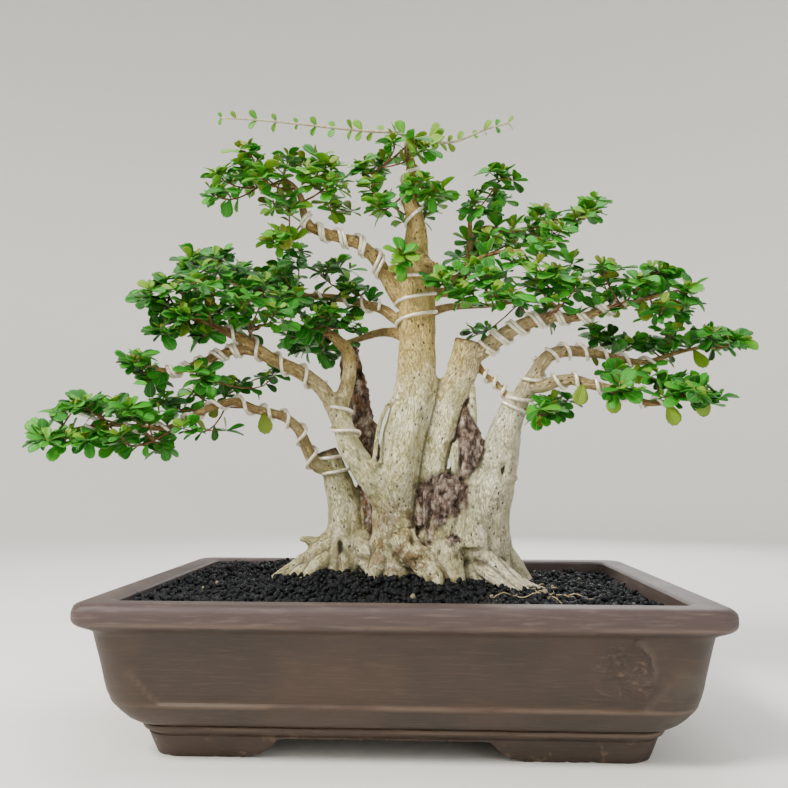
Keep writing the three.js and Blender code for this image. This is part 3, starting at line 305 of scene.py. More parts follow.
# The leafy sprays: limb, share along it, ends that the frame's sprays have, and further ends
SPRAYS = [
    ("low_left", 1, [(-370, -60, 282), (-345, -40, 318)], [(-338, -75, 280)]),
    ("low_left", 0.84, [(-325, -60, 316)], [(-320, -70, 280), (-335, -30, 318), (-305, -28, 280)]),
    ("low_left", 0.68, [(-285, -65, 280)],
     [(-290, -70, 315), (-290, -5, 312), (-268, -62, 308), (-262, -10, 278)]),
    ("low_left", 0.45, [(-235, 10, 335)], [(-200, 22, 342), (-255, -20, 325), (-222, -48, 294)]),
    ("left_lower", 1, [(-277, -60, 360)], [(-268, -25, 348)]),
    ("left_lower", 0.6, [(-205, -60, 345)], [(-150, 30, 362)]),
    ("left", 1, [(-250, -50, 448), (-248, -70, 390)], [(-255, -45, 418), (-262, -66, 430)]),
    ("left", 0.9, [(-232, -20, 480)], [(-225, -80, 405), (-210, -45, 392), (-215, -75, 440)]),
    ("left", 0.74, [(-218, -72, 415)], [(-225, -10, 445), (-195, -50, 460), (-190, -80, 428)]),
    ("left", 0.55, [(-170, -50, 432)],
     [(-165, -70, 420), (-180, 15, 415), (-135, -60, 412), (-150, -30, 450)]),
    ("left_inner", 1, [(-135, 20, 440), (-140, 70, 410)], [(-160, 35, 445), (-118, -20, 440)]),
    ("left_inner", 0.75, [(-80, -15, 420)], [(-65, 20, 415), (-95, 50, 390), (-108, -10, 408)]),
    ("back_left", 1, [(-262, 65, 500), (-245, 100, 515)], [(-258, 50, 482)]),
    ("back_left", 0.78, [(-215, 40, 500)], [(-220, 110, 495), (-190, 30, 482)]),
    ("back_left", 0.55, [(-155, 90, 500)], [(-175, 70, 480), (-125, 45, 510), (-140, 30, 478)]),
    ("back_left", 0.3, [(-85, 80, 500)], [(-95, 25, 480), (-65, 20, 455)]),
    ("top_left", 1, [(-205, -30, 570)], [(-205, -45, 545), (-190, 5, 585), (-172, -40, 578)]),
    ("top_left", 0.9, [(-148, -65, 560), (-130, -15, 595)], [(-150, 5, 555), (-165, -50, 590)]),
    ("top_left", 0.8, [(-80, -35, 575)],
     [(-95, -25, 592), (-70, -50, 550), (-80, 10, 545), (-105, -50, 565)]),
    ("top_left", 0.7, [(-140, -45, 492)], [(-128, -45, 538)]),
    ("leader", 0.55, [(-28, -28, 535)], [(22, 30, 545), (-40, -10, 562)]),
    ("leader", 0.7, [(38, -15, 555)], [(8, -38, 556), (25, 35, 575)]),
    ("leader", 0.9, [(-50, 0, 590), (20, -25, 600)], [(-32, 25, 604), (-14, -12, 616)]),
    ("leader", 0.05, [(-2, -42, 475)], []),
    ("right_top", 1, [(110, 10, 584)], [(102, 40, 570), (78, 5, 545)]),
    ("right_upper", 1, [(214, 45, 552)], [(195, 30, 538)]),
    ("right_upper", 0.7, [(165, 70, 560), (165, 10, 518)], [(145, 75, 525)]),
    ("right_upper", 0.35, [(85, 60, 515)], [(95, 0, 505), (75, 60, 500), (120, 10, 518)]),
    ("right_front", 1, [(155, -60, 450)], [(165, -25, 445), (142, -50, 480)]),
    ("right_front", 0.65, [(110, -70, 425)], [(115, -45, 470), (100, -10, 450), (88, -62, 448)]),
    ("right_front", 0.3, [(62, -50, 430)], [(70, -20, 470), (40, -50, 448)]),
    ("right", 1, [(293, -45, 432)], [(290, -15, 420)]),
    ("right", 0.84, [(285, 0, 462)], [(260, -65, 412), (265, 20, 445), (262, -30, 462)]),
    ("right", 0.68, [(238, -62, 440)], [(220, -5, 437), (220, 10, 475), (205, -50, 460)]),
    ("right", 0.45, [(175, -60, 438)], [(185, 0, 480), (155, 20, 430), (145, -20, 458)]),
    ("right_low", 1, [(350, -15, 388)], [(338, 20, 398), (315, -35, 392)]),
    ("right_low", 0.75, [(290, 25, 390)], [(285, -25, 395), (270, 20, 395)]),
    ("right_low", 0.5, [(230, 35, 400)], [(215, 30, 408), (252, 10, 392)]),
    ("right_lowest", 1, [(303, -60, 320)], [(300, -35, 338)]),
    ("right_lowest", 0.75, [(270, -88, 325)], [(262, -35, 348)]),
    ("right_lowest", 0.45, [(212, -78, 330)], [(222, -18, 355)]),
    ("trunk_right", 0.93, [(152, -30, 312)], [(165, 5, 322)]),
    ("far_left", 1, [(-138, 168, 412)], [(-105, 125, 425), (-75, 120, 405), (-118, 150, 432)]),
    ("far_right", 1, [(150, 158, 472)], [(170, 125, 445), (80, 110, 425), (118, 140, 480)]),
]

# Limbs that bear small tufts of their own out from the given share
TUFTED = {
    "low_left": 0.72, "left": 0.68, "back_left": 0.3, "left_inner": 0.75, "top_left": 0.82,
    "right_top": 0.3, "right_upper": 0.4, "right_front": 0.35, "right": 0.6, "right_low": 0.74,
    "right_lowest": 0.84, "left_lower": 0.85, "far_left": 0.6, "far_right": 0.6,
}

# How much lighter or darker than the others a limb's leaves are: painted light on the top and front limbs and
# painted shade on the back and inner limbs
TONES = {
    "leader": 0.22, "top_left": 0.2, "right_upper": 0.14, "right_front": 0.1, "back_left": -0.1,
    "left_inner": -0.06, "far_left": -0.08, "far_right": -0.08, "right_low": -0.05,
}

# Old leaves that hang by themselves from a limb or a twig: limb, share along it, how far each one swings
# to the right and, for a twig, where it is from the limb
HANGING = [
    ("low_left", 0.88, 0.1), ("low_left", 0.4, 0.25), ("top_left", 0.7, -0.35, (-15, -10, -13)),
    ("top_left", 0.7, 0.2, (-20, -13, -17)), ("right_lowest", 0.36, -0.3), ("right_lowest", 0.5, 0.1),
    ("right_lowest", 0.78, 0.2), ("right_lowest", 0.97, 0.1), ("right_low", 0.9, 0.35),
    ("right_low", 0.72, -0.1), ("right", 0.86, 0.0), ("right", 0.95, 0.3), ("left", 0.92, -0.4),
    ("left_lower", 0.5, 0.1), ("right_front", 0.5, -0.2),
]

# The two long shoots at the very top: how many pairs of leaves each one has, and its points
WHIPS = {
    "whip_left": (13, [
        (4, 0, 621), (-8, -1, 629), (-38, -4, 630), (-62, -7, 631), (-111, -12, 635), (-159, -18, 638),
        (-206, -24, 639)]),
    "whip_right": (10, [
        (4, 0, 623), (25, 3, 626), (38, 5, 620), (60, 8, 623), (89, 12, 637), (118, 16, 647)]),
}


# Colours


def linear(hex_code):
    """An sRGB colour such as 'c8b88f' as the linear red, green and blue that shaders take"""
    shares = [int(hex_code[i:i + 2], 16) / 255 for i in (0, 2, 4)]
    return tuple(s / 12.92 if s <= 0.04045 else ((s + 0.055) / 1.055) ** 2.4 for s in shares)


def length_setting(name, description, default):
    return FloatProperty(name=name, description=description, unit="LENGTH", default=default)


def colour_setting(name, description, hex_code):
    return FloatVectorProperty(name=name, description=description, subtype="COLOR", default=linear(hex_code))


class PotSettings(bpy.types.PropertyGroup):
    """Sizes and colours of the clay pot"""
    clay: colour_setting("Clay", "Main colour of the fired clay", "352314")
    lip: colour_setting("Lip", "Colour of the rubbed lip", "433332")
    wobble: length_setting("Wobble", "Unevenness of the hand-finished walls", 0.0005)


class SoilSettings(bpy.types.PropertyGroup):
    """Size and colour of the grit"""
    grain: length_setting("Grain", "Mean radius of a grain", 0.0031)
    pitch: length_setting("Pitch", "Distance between grains", 0.0061)
    colour: colour_setting("Grit", "Colour of the grit", "04060a")


class WoodSettings(bpy.types.PropertyGroup):
    """Fineness and colours of the bark"""
    voxel: length_setting("Voxel", "Cell size that joins the limbs", 0.0015)
    flare: length_setting("Flare", "How far bark fills the corners between roots", 0.003)
    fillet: length_setting("Fillet", "How far bark fills the forks above", 0.0013)
    triangles: IntProperty(name="Triangles", description="Most triangles that the wood keeps", default=145000)
    pale: colour_setting("Pale bark", "Colour of the thick trunks", "f8f2c6")
    tan: colour_setting("Tan bark", "Colour of the branches", "bfa46a")


class LeafSettings(bpy.types.PropertyGroup):
    """Sizes of the leaves"""
    thickness: length_setting("Thickness", "Thickness of a leaf", 0.0004)
    young: FloatProperty(name="Young leaves", description="Size of the young leaves at a shoot's end",
                         default=0.55)


class StageSettings(bpy.types.PropertyGroup):
    """The floor and the camera"""
    floor: colour_setting("Floor", "Colour of the plain floor", "efeee9")
    lens: FloatProperty(name="Lens", description="Focal length", subtype="DISTANCE_CAMERA", default=35.5)


# Shader maths written as Python


class Value:
    """One output of a shader node, so that patterns can be added and multiplied as numbers are."""

    def __init__(self, maker, socket):
        self.maker = maker
        self.socket = socket

    def maths(self, operation, left, right):
        return self.maker.node("ShaderNodeMath", {"operation": operation}, {0: left, 1: right})

    def __add__(self, other):
        return self.maths("ADD", self, other)

    def __radd__(self, other):
        return self.maths("ADD", other, self)

    def __sub__(self, other):
        return self.maths("SUBTRACT", self, other)

    def __rsub__(self, other):
        return self.maths("SUBTRACT", other, self)

    def __mul__(self, other):
        return self.maths("MULTIPLY", self, other)

    def __rmul__(self, other):
        return self.maths("MULTIPLY", other, self)

    def __abs__(self):
        return self.maker.node("ShaderNodeMath", {"operation": "ABSOLUTE"}, {0: self})


class Maker:
    """Builds one material from nodes."""

    def __init__(self, name, **constants):
        self.material = bpy.data.materials.new(name)
        self.material.use_nodes = True
        self.tree = self.material.node_tree
        self.shader = self.tree.nodes["Principled BSDF"]
        for socket, value in constants.items():
            self.shader.inputs[socket.replace("_", " ")].default_value = value

    def node(self, kind, settings=None, sockets=None, output=0):
        made = self.tree.nodes.new(kind)
        for key, value in (settings or {}).items():
            if key == "stops":
                self.set_stops(made.color_ramp, value)
            else:
                setattr(made, key, value)
        for key, value in (sockets or {}).items():
            if isinstance(value, Value):
                self.tree.links.new(value.socket, made.inputs[key])
            else:
                made.inputs[key].default_value = value
        return Value(self, made.outputs[output])

    def set_stops(self, ramp, stops):
        while len(ramp.elements) < len(stops):
            ramp.elements.new(0.5)
        for element, (position, colour) in zip(ramp.elements, stops):
            element.position = position
            element.color = (*colour, 1)

    def place(self):
        return self.node("ShaderNodeTexCoord", output="Object")

    def attribute(self, name, output="Fac"):
        return self.node("ShaderNodeAttribute", {"attribute_name": name}, output=output)

    def stretch(self, vector, x, y, z):
        return self.node("ShaderNodeVectorMath", {"operation": "MULTIPLY"}, {0: vector, 1: (x, y, z)})

    def axis(self, vector, output):
        return self.node("ShaderNodeSeparateXYZ", sockets={0: vector}, output=output)

    def noise(self, vector, scale, detail=3.0, roughness=0.55):
        return self.node("ShaderNodeTexNoise", sockets={
            "Vector": vector, "Scale": scale, "Detail": detail, "Roughness": roughness})

    def cells(self, vector, scale):
        return self.node("ShaderNodeTexVoronoi", sockets={"Vector": vector, "Scale": scale},
                         output="Distance")

    def between(self, value, low, high):
        """0 below low, 1 above high and a smooth change between them"""
        return self.node("ShaderNodeMapRange", {"interpolation_type": "SMOOTHSTEP"},
                         {0: value, 1: low, 2: high, 3: 0.0, 4: 1.0})

    def ramp(self, value, stops):
        return self.node("ShaderNodeValToRGB", {"stops": stops}, {0: value})

    def mix(self, share, under, over):
        full = [c if isinstance(c, Value) else (*c, 1) for c in (under, over)]
        return self.node("ShaderNodeMix", {"data_type": "RGBA"}, {0: share, 6: full[0], 7: full[1]}, output=2)

    def bump(self, height, strength, distance):
        return self.node("ShaderNodeBump", sockets={
            "Height": height, "Strength": strength, "Distance": distance})

    def done(self, **links):
        for socket, value in links.items():
            self.tree.links.new(value.socket, self.shader.inputs[socket.replace("_", " ")])
        return self.material


# Meshes and pieces


def placed(x, y, z):
    """A point in millimetres from the ground under the pot's centre, in the frame's metres"""
    return Vector((POT_MIDDLE + x * MM, y * MM, z * MM))


def new_piece(name, mesh, materials, replaced=()):
    """Puts a finished mesh in the scene as a piece that stands for the given nodes"""
    piece = bpy.data.objects.new(name, mesh)
    bpy.context.scene.collection.objects.link(piece)
    for material in materials:
        mesh.materials.append(material)
    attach(piece, "root")
    if replaced:
        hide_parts(*replaced)
    return piece


def mesh_from(bm, name, smooth=True):
    mesh = bpy.data.meshes.new(name)
    bmesh.ops.recalc_face_normals(bm, faces=bm.faces)
    bm.to_mesh(mesh)
    bm.free()
    if smooth:
        mesh.shade_smooth()
    return mesh


def modified(mesh, *modifiers):
    """The mesh after modifiers, each given as its type and its settings"""
    holder = bpy.data.objects.new("holder", mesh)
    bpy.context.scene.collection.objects.link(holder)
    for kind, settings in modifiers:
        modifier = holder.modifiers.new(kind.lower(), kind)
        for key, value in settings.items():
            setattr(modifier, key, value)
    bpy.context.view_layer.update()
    evaluated = holder.evaluated_get(bpy.context.evaluated_depsgraph_get())
    result = bpy.data.meshes.new_from_object(evaluated)
    bpy.data.objects.remove(holder)
    return result


def points_of(mesh):
    flat = np.empty(len(mesh.vertices) * 3)
    mesh.vertices.foreach_get("co", flat)
    return flat.reshape(-1, 3)


def in_millimetres(mesh):
    """The mesh's points in millimetres from the ground under the pot's centre"""
    return (points_of(mesh) - np.array([POT_MIDDLE, 0, 0])) / MM


def move_points(mesh, points):
    """Moves the mesh's points to places in millimetres"""
    mesh.vertices.foreach_set("co", (points * MM + np.array([POT_MIDDLE, 0, 0])).ravel())


def normals_of(mesh):
    flat = np.empty(len(mesh.vertices) * 3)
    mesh.vertex_normals.foreach_get("vector", flat)
    return flat.reshape(-1, 3)


def keep_attribute(mesh, name, kind, values):
    attribute = mesh.attributes.new(name, kind, "POINT")
    field = "vector" if kind == "FLOAT_VECTOR" else "value"
    attribute.data.foreach_set(field, np.ravel(values).astype(np.float32))


def add_tube(bm, rings, sides):
    """A closed tube: a grid rolled round the rings, its seam welded and its ends filled"""
    last = len(rings) - 1
    grid = bmesh.ops.create_grid(bm, x_segments=sides, y_segments=last, size=0.5)["verts"]
    for v in grid:
        middle, side, across, reach = rings[round((v.co.y + 0.5) * last)]
        angle = 2 * math.pi * (v.co.x + 0.5)
        out = reach(angle) if callable(reach) else reach
        v.co = placed(*(middle + side * (out * math.cos(angle)) + across * (out * math.sin(angle))))
    bmesh.ops.remove_doubles(bm, verts=grid, dist=1e-7)
    edges = {edge for v in grid if v.is_valid for edge in v.link_edges if edge.is_boundary}
    bmesh.ops.holes_fill(bm, edges=list(edges), sides=0)


def unit(vector):
    return vector / np.linalg.norm(vector)


class Limb:
    """A smooth line through a limb's points, with a radius that changes evenly between them."""

    def __init__(self, points):
        rows = np.array(points, float)
        self.spans = len(rows) - 1
        self.radii = rows[:, 3] if rows.shape[1] > 3 else None
        before = 2 * rows[0, :3] - rows[1, :3]
        after = 2 * rows[-1, :3] - rows[-2, :3]
        self.line = np.vstack([before, rows[:, :3], after])

    def point(self, share):
        way = min(max(share, 0.0), 1.0) * self.spans
        low = min(int(way), self.spans - 1)
        t = way - low
        a, b, c, d = self.line[low:low + 4]
        start = (c - a) / 2
        end = (d - b) / 2
        cubic = 2 * b - 2 * c + start + end
        square = 3 * c - 3 * b - 2 * start - end
        return cubic * t ** 3 + square * t * t + start * t + b

    def tangent(self, share):
        step = 1e-4
        return unit(self.point(min(1.0, share + step)) - self.point(max(0.0, share - step)))

    def radius(self, share):
        return float(np.interp(share * self.spans, np.arange(self.spans + 1), self.radii))

    def length(self, steps):
        """The way along the limb, added up from even steps"""
        points = [self.point(step / steps) for step in range(steps + 1)]
        return sum(np.linalg.norm(one - other) for one, other in zip(points, points[1:]))

    def rings(self, steps, radius=None):
        """The middle, two sideways directions and the radius at even steps along the limb"""
        side = np.array([1.0, 0.0, 0.0])
        rings = []
        for step in range(steps + 1):
            share = step / steps
            along = self.tangent(share)
            side = unit(side - along * side.dot(along))
            rings.append((self.point(share), side, np.cross(along, side), (radius or self.radius)(share)))
        return rings


ALL_LIMBS = {name: Limb(points) for name, points in {**LIMBS, **FINE_WOOD}.items()}


def draw(seed, index):
    """A repeatable draw between 0 and 1"""
    value = math.sin(seed * 12.9898 + index * 78.233) * 43758.5453
    return value - math.floor(value)


def pick(count, share):
    """Which one of so many kinds a draw stands for"""
    return min(count - 1, int(share * (count - 0.001)))


# The wood


def ribbed(radius, height):
    """The swelling section of a thick limb at one height, as a reach for each angle"""
    def reach(angle):
        swell = math.cos(3 * angle + height * 0.021) + 0.7 * math.cos(5 * angle - height * 0.033)
        return radius * (1 + BARK_RIBS * swell)
    return reach


def raw_wood(least, top):
    """Closed tubes along all limbs, where each one is thicker than the least radius and not above the top"""
    bm = bmesh.new()
    for name, limb in ALL_LIMBS.items():
        thick = name in THICK_LIMBS
        rings = [ring for ring in limb.rings(limb.spans * 5) if ring[3] > least and ring[0][2] < top]
        if len(rings) < 4:
            continue
        if thick:
            rings = [(middle, -side, across, ribbed(radius, middle[2]))
                     for middle, side, across, radius in rings]
        add_tube(bm, rings, 28 if thick else 12)
    return mesh_from(bm, "raw_wood")


def flared(least, top, fill):
    """The limbs run together, with the corners between them filled as bark fills them"""
    return modified(raw_wood(least, top), ("DISPLACE", {"strength": fill, "mid_level": 0.0}),
                    ("REMESH", {"mode": "VOXEL", "voxel_size": 0.002}),
                    ("DISPLACE", {"strength": -fill, "mid_level": 0.0}))


def joined_wood(settings):
    """All limbs as one closed skin that flares out over the roots"""
    root_top = 186
    everywhere = 1000
    bm = bmesh.new()
    bm.from_mesh(flared(2.5, root_top, settings.flare))
    bm.from_mesh(flared(5.0, everywhere, settings.fillet))
    bm.from_mesh(raw_wood(0.0, everywhere))
    both = mesh_from(bm, "both")
    return modified(both, ("REMESH", {"mode": "VOXEL", "voxel_size": settings.voxel}),
                    ("SMOOTH", {"factor": 0.5, "iterations": 2}))


class NearestLimb:
    """For points of the wood: which limb lies nearest, where along it, and whether it is a pale one"""

    def __init__(self, names):
        rows = []
        for number, name in enumerate(names):
            limb = ALL_LIMBS[name]
            steps = limb.spans * 6
            rings = limb.rings(steps)
            travelled = 0.0
            for step, (middle, side, across, radius) in enumerate(rings):
                if step:
                    travelled += np.linalg.norm(middle - rings[step - 1][0])
                rows.append([*middle, *side, *across, radius, travelled, number, name.startswith(PALE_LIMBS)])
        self.rows = np.array(rows)

    def look(self, points):
        """The nearest row for each point and its distance to the bark there"""
        found = np.empty(len(points), int)
        gap = np.empty(len(points))
        axis, radii = self.rows[:, :3], self.rows[:, 9]
        for start in range(0, len(points), 4000):
            part = points[start:start + 4000]
            apart = np.sqrt(np.maximum(((part ** 2).sum(1)[:, None] + (axis ** 2).sum(1)[None]
                                        - 2 * part @ axis.T), 0)) - radii
            found[start:start + 4000] = apart.argmin(1)
            gap[start:start + 4000] = apart.min(1)
        return found, gap


def soft_step(value, low, high):
    share = np.clip((value - low) / (high - low), 0, 1)
    return share * share * (3 - 2 * share)


def grain_of(points, rows):
    """Each point as seen from its limb: two ways across it and, shortened, the way along it"""
    offset = points - rows[:, :3]
    across = (offset * rows[:, 3:6]).sum(1)
    over = (offset * rows[:, 6:9]).sum(1)
    along = np.cross(rows[:, 3:6], rows[:, 6:9])
    travelled = rows[:, 10] + (offset * along).sum(1)
    number = rows[:, 11]
    return np.stack([across + 37 * number, over + 11 * number, travelled * 0.16], 1)


def bark_relief(points, grain, dead, radius):
    """How far the bark stands out at each point, in millimetres"""
    relief = np.empty(len(points))
    for i, (p, g) in enumerate(zip(points, grain)):
        p = Vector(p)
        g = Vector(g)
        flute = noise.noise(g * 0.075)
        fissure = abs(noise.noise(g * 0.31))
        waves = 1.3 * noise.noise(p * 0.09) + 0.5 * noise.noise(p * 0.22)
        lump = noise.noise(p * 0.05) + 0.55 * noise.noise(p * 0.12)
        strand = 1 - 2 * abs(noise.noise(g * 0.13))
        burl = min(1.0, max(0.0, (205 - p.z) / 45))
        lively = 1.5 * flute - 0.5 * fissure + waves + 2.6 * lump * burl
        gnarl = noise.noise(p * 0.17) + 0.5 * noise.noise(p * 0.34)
        rotten = 1.7 * strand + 2.4 * lump + 3.8 * gnarl - 0.8 * fissure
        relief[i] = lively * (1 - dead[i]) + rotten * dead[i]
    return relief * soft_step(radius, 1.0, 14.0)


def hollow_depth(points):
    """Knot holes and pits in the bark, less the swellings on it"""
    depth = np.zeros(len(points))
    for middle, half_width, half_height, deep in HOLLOWS:
        offset = (points - np.array(middle)) / np.array([half_width, 16, half_height])
        depth += deep * np.exp(-(offset ** 2).sum(1) ** 2)
    for middle, radius, height in SWELLINGS:
        offset = (points - np.array(middle)) / radius
        depth -= height * np.exp(-(offset ** 2).sum(1))
    return depth


def sawn_share(points):
    """1 on the cut tops of the two sawn trunks"""
    share = np.zeros(len(points))
    for name, rim in (("trunk_mid", 4.5), ("trunk_left", 11.0)):
        limb = ALL_LIMBS[name]
        offset = points - limb.point(1.0)
        near = np.linalg.norm(offset, axis=1) < limb.radius(1.0) + 5
        share = np.maximum(share, soft_step(offset @ limb.tangent(1.0), -rim, -0.8) * near)
    return share


def crease_share(points):
    """1 in the seams between the stout trunks, and 0 away from them"""
    gaps = {name: NearestLimb([name]).look(points)[1] for name in THICK_LIMBS + ["shoulder", "stem_thin"]}
    share = np.zeros(len(points))
    for one, other, low, strength in SEAMS:
        close = np.minimum(gaps[one], gaps[other]) < 4
        near = close * soft_step(points[:, 2], low - 10, low + 20) * strength
        share = np.maximum(share, near * (1 - soft_step(np.abs(gaps[one] - gaps[other]), 0.2, 3.6)))
    near_soil = ("root", "foot", "trunk_main", "trunk_left", "trunk_right")
    names = [name for name in ALL_LIMBS if name.startswith(near_soil)]
    apart = np.sort(np.stack([NearestLimb([name]).look(points)[1] for name in names], 1), 1)
    between_roots = 1 - soft_step(apart[:, 1] - apart[:, 0], 0.3, 4.0)
    low_down = 1 - soft_step(points[:, 2], 150, 190)
    return np.maximum(share, 0.5 * (between_roots * low_down))


def rotten_share(points):
    """1 in the rotten patches of the trunks' front"""
    ragged = np.array([1.3 * noise.noise(Vector(p) * 0.06) + 0.7 * noise.noise(Vector(p) * 0.19)
                       for p in points])
    share = np.zeros(len(points))
    for middle, half_width, half_height in ROTTEN:
        offset = (points - np.array(middle)) / np.array([half_width, 22, half_height])
        share = np.maximum(share, 1 - soft_step((offset ** 2).sum(1) + 0.9 * ragged, 0.75, 1.2))
    return share


def wood_mesh(settings):
    """The skin of the wood with its relief, and the marks that the bark's shader reads"""
    cells = joined_wood(settings)
    triangles = sum(len(face.vertices) - 2 for face in cells.polygons)
    ratio = min(1.0, settings.triangles / triangles)
    mesh = modified(cells, ("DECIMATE", {"ratio": ratio}))
    points = in_millimetres(mesh)
    living = NearestLimb([name for name in ALL_LIMBS if name not in DEAD_LIMBS])
    rotten = NearestLimb(DEAD_LIMBS)
    live_row, live_gap = living.look(points)
    dead_row, dead_gap = rotten.look(points)
    dead = soft_step(live_gap - dead_gap, -2.0, 3.0) * soft_step(points[:, 2], 170, 196)
    rows = np.where((dead > 0.5)[:, None], rotten.rows[dead_row], living.rows[live_row])
    grain = grain_of(points, rows)
    dead = np.maximum(dead, rotten_share(points))
    crease = crease_share(points)
    relief = bark_relief(points, grain, dead, rows[:, 9]) - hollow_depth(points) - 2.2 * crease
    moved = points + normals_of(mesh) * relief[:, None]
    move_points(mesh, moved)
    keep_attribute(mesh, "grain", "FLOAT_VECTOR", grain * MM)
    keep_attribute(mesh, "age", "FLOAT", np.maximum(soft_step(rows[:, 9], 2.5, 15.0), rows[:, 12]))
    keep_attribute(mesh, "dead", "FLOAT", dead)
    keep_attribute(mesh, "relief", "FLOAT", relief)
    keep_attribute(mesh, "crease", "FLOAT", crease)
    keep_attribute(mesh, "sawn", "FLOAT", sawn_share(points))
    mesh.shade_smooth()
    mesh.update()
    return mesh


def bark_material(settings):
    """Pale plates on the trunks, tan bark on the branches, rotten wood and sawn ends, with painted shade in
    the seams and recesses and painted highlights on the rotten lumps
    """
    maker = Maker("bark", Roughness=0.82, Specular_IOR_Level=0.3)
    place = maker.place()
    grain = maker.attribute("grain", "Vector")
    age = maker.attribute("age")
    dead = maker.attribute("dead")
    relief = maker.attribute("relief")
    crease = maker.attribute("crease")
    sawn = maker.attribute("sawn")
    height = maker.axis(place, "Z")
    right = maker.axis(place, "X")
    fissure = maker.noise(maker.stretch(grain, 1.0, 1.0, 1.7), 480.0, 8.0, 0.72)
    fibre = maker.noise(maker.stretch(grain, 1.0, 1.0, 0.8), 1300.0, 5.0, 0.65)
    blotch = maker.noise(place, 40.0, 6.0, 0.65)
    plate = maker.noise(maker.stretch(place, 1.0, 1.0, 0.7), 105.0, 8.0, 0.75)
    trunk = maker.mix(maker.between(blotch, 0.4, 0.6), linear("d9d097"), tuple(settings.pale))
    trunk = maker.mix(maker.between(plate, 0.45, 0.7) * 0.75, trunk, linear("fffbda"))
    trunk = maker.mix(maker.between(plate, 0.46, 0.36) * 0.45, trunk, linear("9a8450"))
    moss = maker.between(height, 0.36, 0.24) * maker.between(height, 0.16, 0.22)
    moss = moss * maker.between(maker.noise(place, 26.0, 5.0, 0.6), 0.44, 0.64)
    trunk = maker.mix(moss * 0.55, trunk, linear("a0a674"))
    middle = maker.between(right, -0.045, -0.02) * maker.between(right, 0.05, 0.02)
    rust = maker.between(height, 0.27, 0.18) * maker.between(maker.noise(place, 75.0, 7.0, 0.75), 0.42, 0.56)
    trunk = maker.mix(rust * (middle * 0.5 + 0.25), trunk, linear("7a522b"))
    trunk = maker.mix(maker.between(height, 0.31, 0.4) * 0.8, trunk, linear("cfae54"))
    trunk = maker.mix(maker.between(right, 0.06, 0.1) * 0.4, trunk, linear("efebd8"))
    branch = maker.mix(maker.between(blotch, 0.35, 0.65), linear("8b6c3a"), tuple(settings.tan))
    colour = maker.mix(age, branch, trunk)
    crack = maker.between(abs(fissure - 0.5), 0.045, 0.004)
    colour = maker.mix(crack * maker.between(plate, 0.62, 0.45) * 0.6, colour, linear("6b5531"))
    colour = maker.mix(maker.between(fibre, 0.46, 0.3) * 0.3, colour, linear("6b5631"))
    spots = maker.between(maker.cells(maker.stretch(grain, 1.0, 1.0, 3.6), 190.0), 0.25, 0.13)
    colour = maker.mix(spots * maker.between(blotch, 0.42, 0.54) * 0.85, colour, linear("2c1d12"))
    strand = maker.noise(maker.stretch(place, 1.0, 1.0, 0.6), 95.0, 8.0, 0.68)
    rot = maker.ramp(strand, [(0.36, linear("170e0b")), (0.45, linear("48352d")), (0.53, linear("8a7264")),
                              (0.63, linear("dfd2c2"))])
    # Painted highlight on the raised lumps of the rotten wood, broken up by the fissure pattern
    lump_highlight = maker.between(relief, 0.5, 3.5) * maker.between(fissure, 0.42, 0.6)
    rot = maker.mix(lump_highlight * 0.5, rot, linear("cdbfae"))
    ochre = maker.between(right, -0.02, -0.035) * maker.between(blotch, 0.45, 0.6)
    rot = maker.mix(ochre * 0.6, rot, linear("8f5b2c"))
    colour = maker.mix(dead, colour, rot)
    # Painted shade in the seams between the trunks and between the roots low down
    colour = maker.mix(crease * 0.8, colour, linear("2b1a10"))
    # Painted shade in the sunk bark low down, near the soil
    low_recess_shade = maker.between(relief, -0.8, -3.0) * maker.between(height, 0.24, 0.16)
    colour = maker.mix(low_recess_shade * 0.6, colour, linear("4e3820"))
    # Painted shade in the deepest hollows, pits and seams of the bark
    colour = maker.mix(maker.between(relief, -1.5, -4.2) * 0.85, colour, linear("1d130c"))
    wood_end = maker.mix(maker.between(blotch, 0.4, 0.6), linear("3a281a"), linear("634930"))
    colour = maker.mix(sawn * 0.9, colour, wood_end)
    rough = maker.noise(place, 1100.0, 2.0)
    height_map = fissure * 0.6 - crack * 0.3 + plate * 0.5 + rough * 0.12 - spots * 0.3 + strand * dead * 2.0
    return maker.done(Base_Color=colour, Normal=maker.bump(height_map, 1.0, 0.0024))


# The wires


def wound_rings(limb, start, end, turns, angle, steps_per_turn=22, phase=0.0):
    """Rings for a wire wound round a limb from one of its points to another"""
    steps = max(12, round(turns * steps_per_turn))
    line = []
    for step in range(steps + 1):
        t = step / steps
        at = start + (end - start) * t
        share = at / limb.spans
        along = limb.tangent(share)
        side = unit(np.cross([0.0, 1.0, 0.0], along))
        across = np.cross(along, side)
        turn = math.radians(angle) + 2 * math.pi * turns * t + phase
        reach = limb.radius(share) + WIRE_RADIUS + 0.35
        line.append(limb.point(share) + side * reach * math.cos(turn) + across * reach * math.sin(turn))
    return bent_rings(line, WIRE_RADIUS)


def bent_rings(line, radius):
    """Rings for a rod bent along a line of points"""
    rings = []
    side = None
    for i, point in enumerate(line):
        ahead = line[min(i + 1, len(line) - 1)]
        behind = line[max(i - 1, 0)]
        along = unit(np.array(ahead) - np.array(behind))
        if side is None:
            side = np.cross(along, [0.0, 0.0, 1.0] if abs(along[2]) < 0.9 else [1.0, 0.0, 0.0])
        side = unit(side - along * side.dot(along))
        rings.append((np.array(point), side, np.cross(along, side), radius))
    return rings


def wire_material():
    maker = Maker("wire", Metallic=0.4)
    place = maker.place()
    dull = maker.noise(place, 260.0, 4.0)
    colour = maker.mix(maker.between(dull, 0.35, 0.7), linear("ddd3bd"), linear("fff6e6"))
    roughness = dull * 0.25 + 0.3
    return maker.done(Base_Color=colour, Roughness=roughness,
                      Normal=maker.bump(maker.noise(place, 1400.0, 2.0), 0.15, 0.0004))


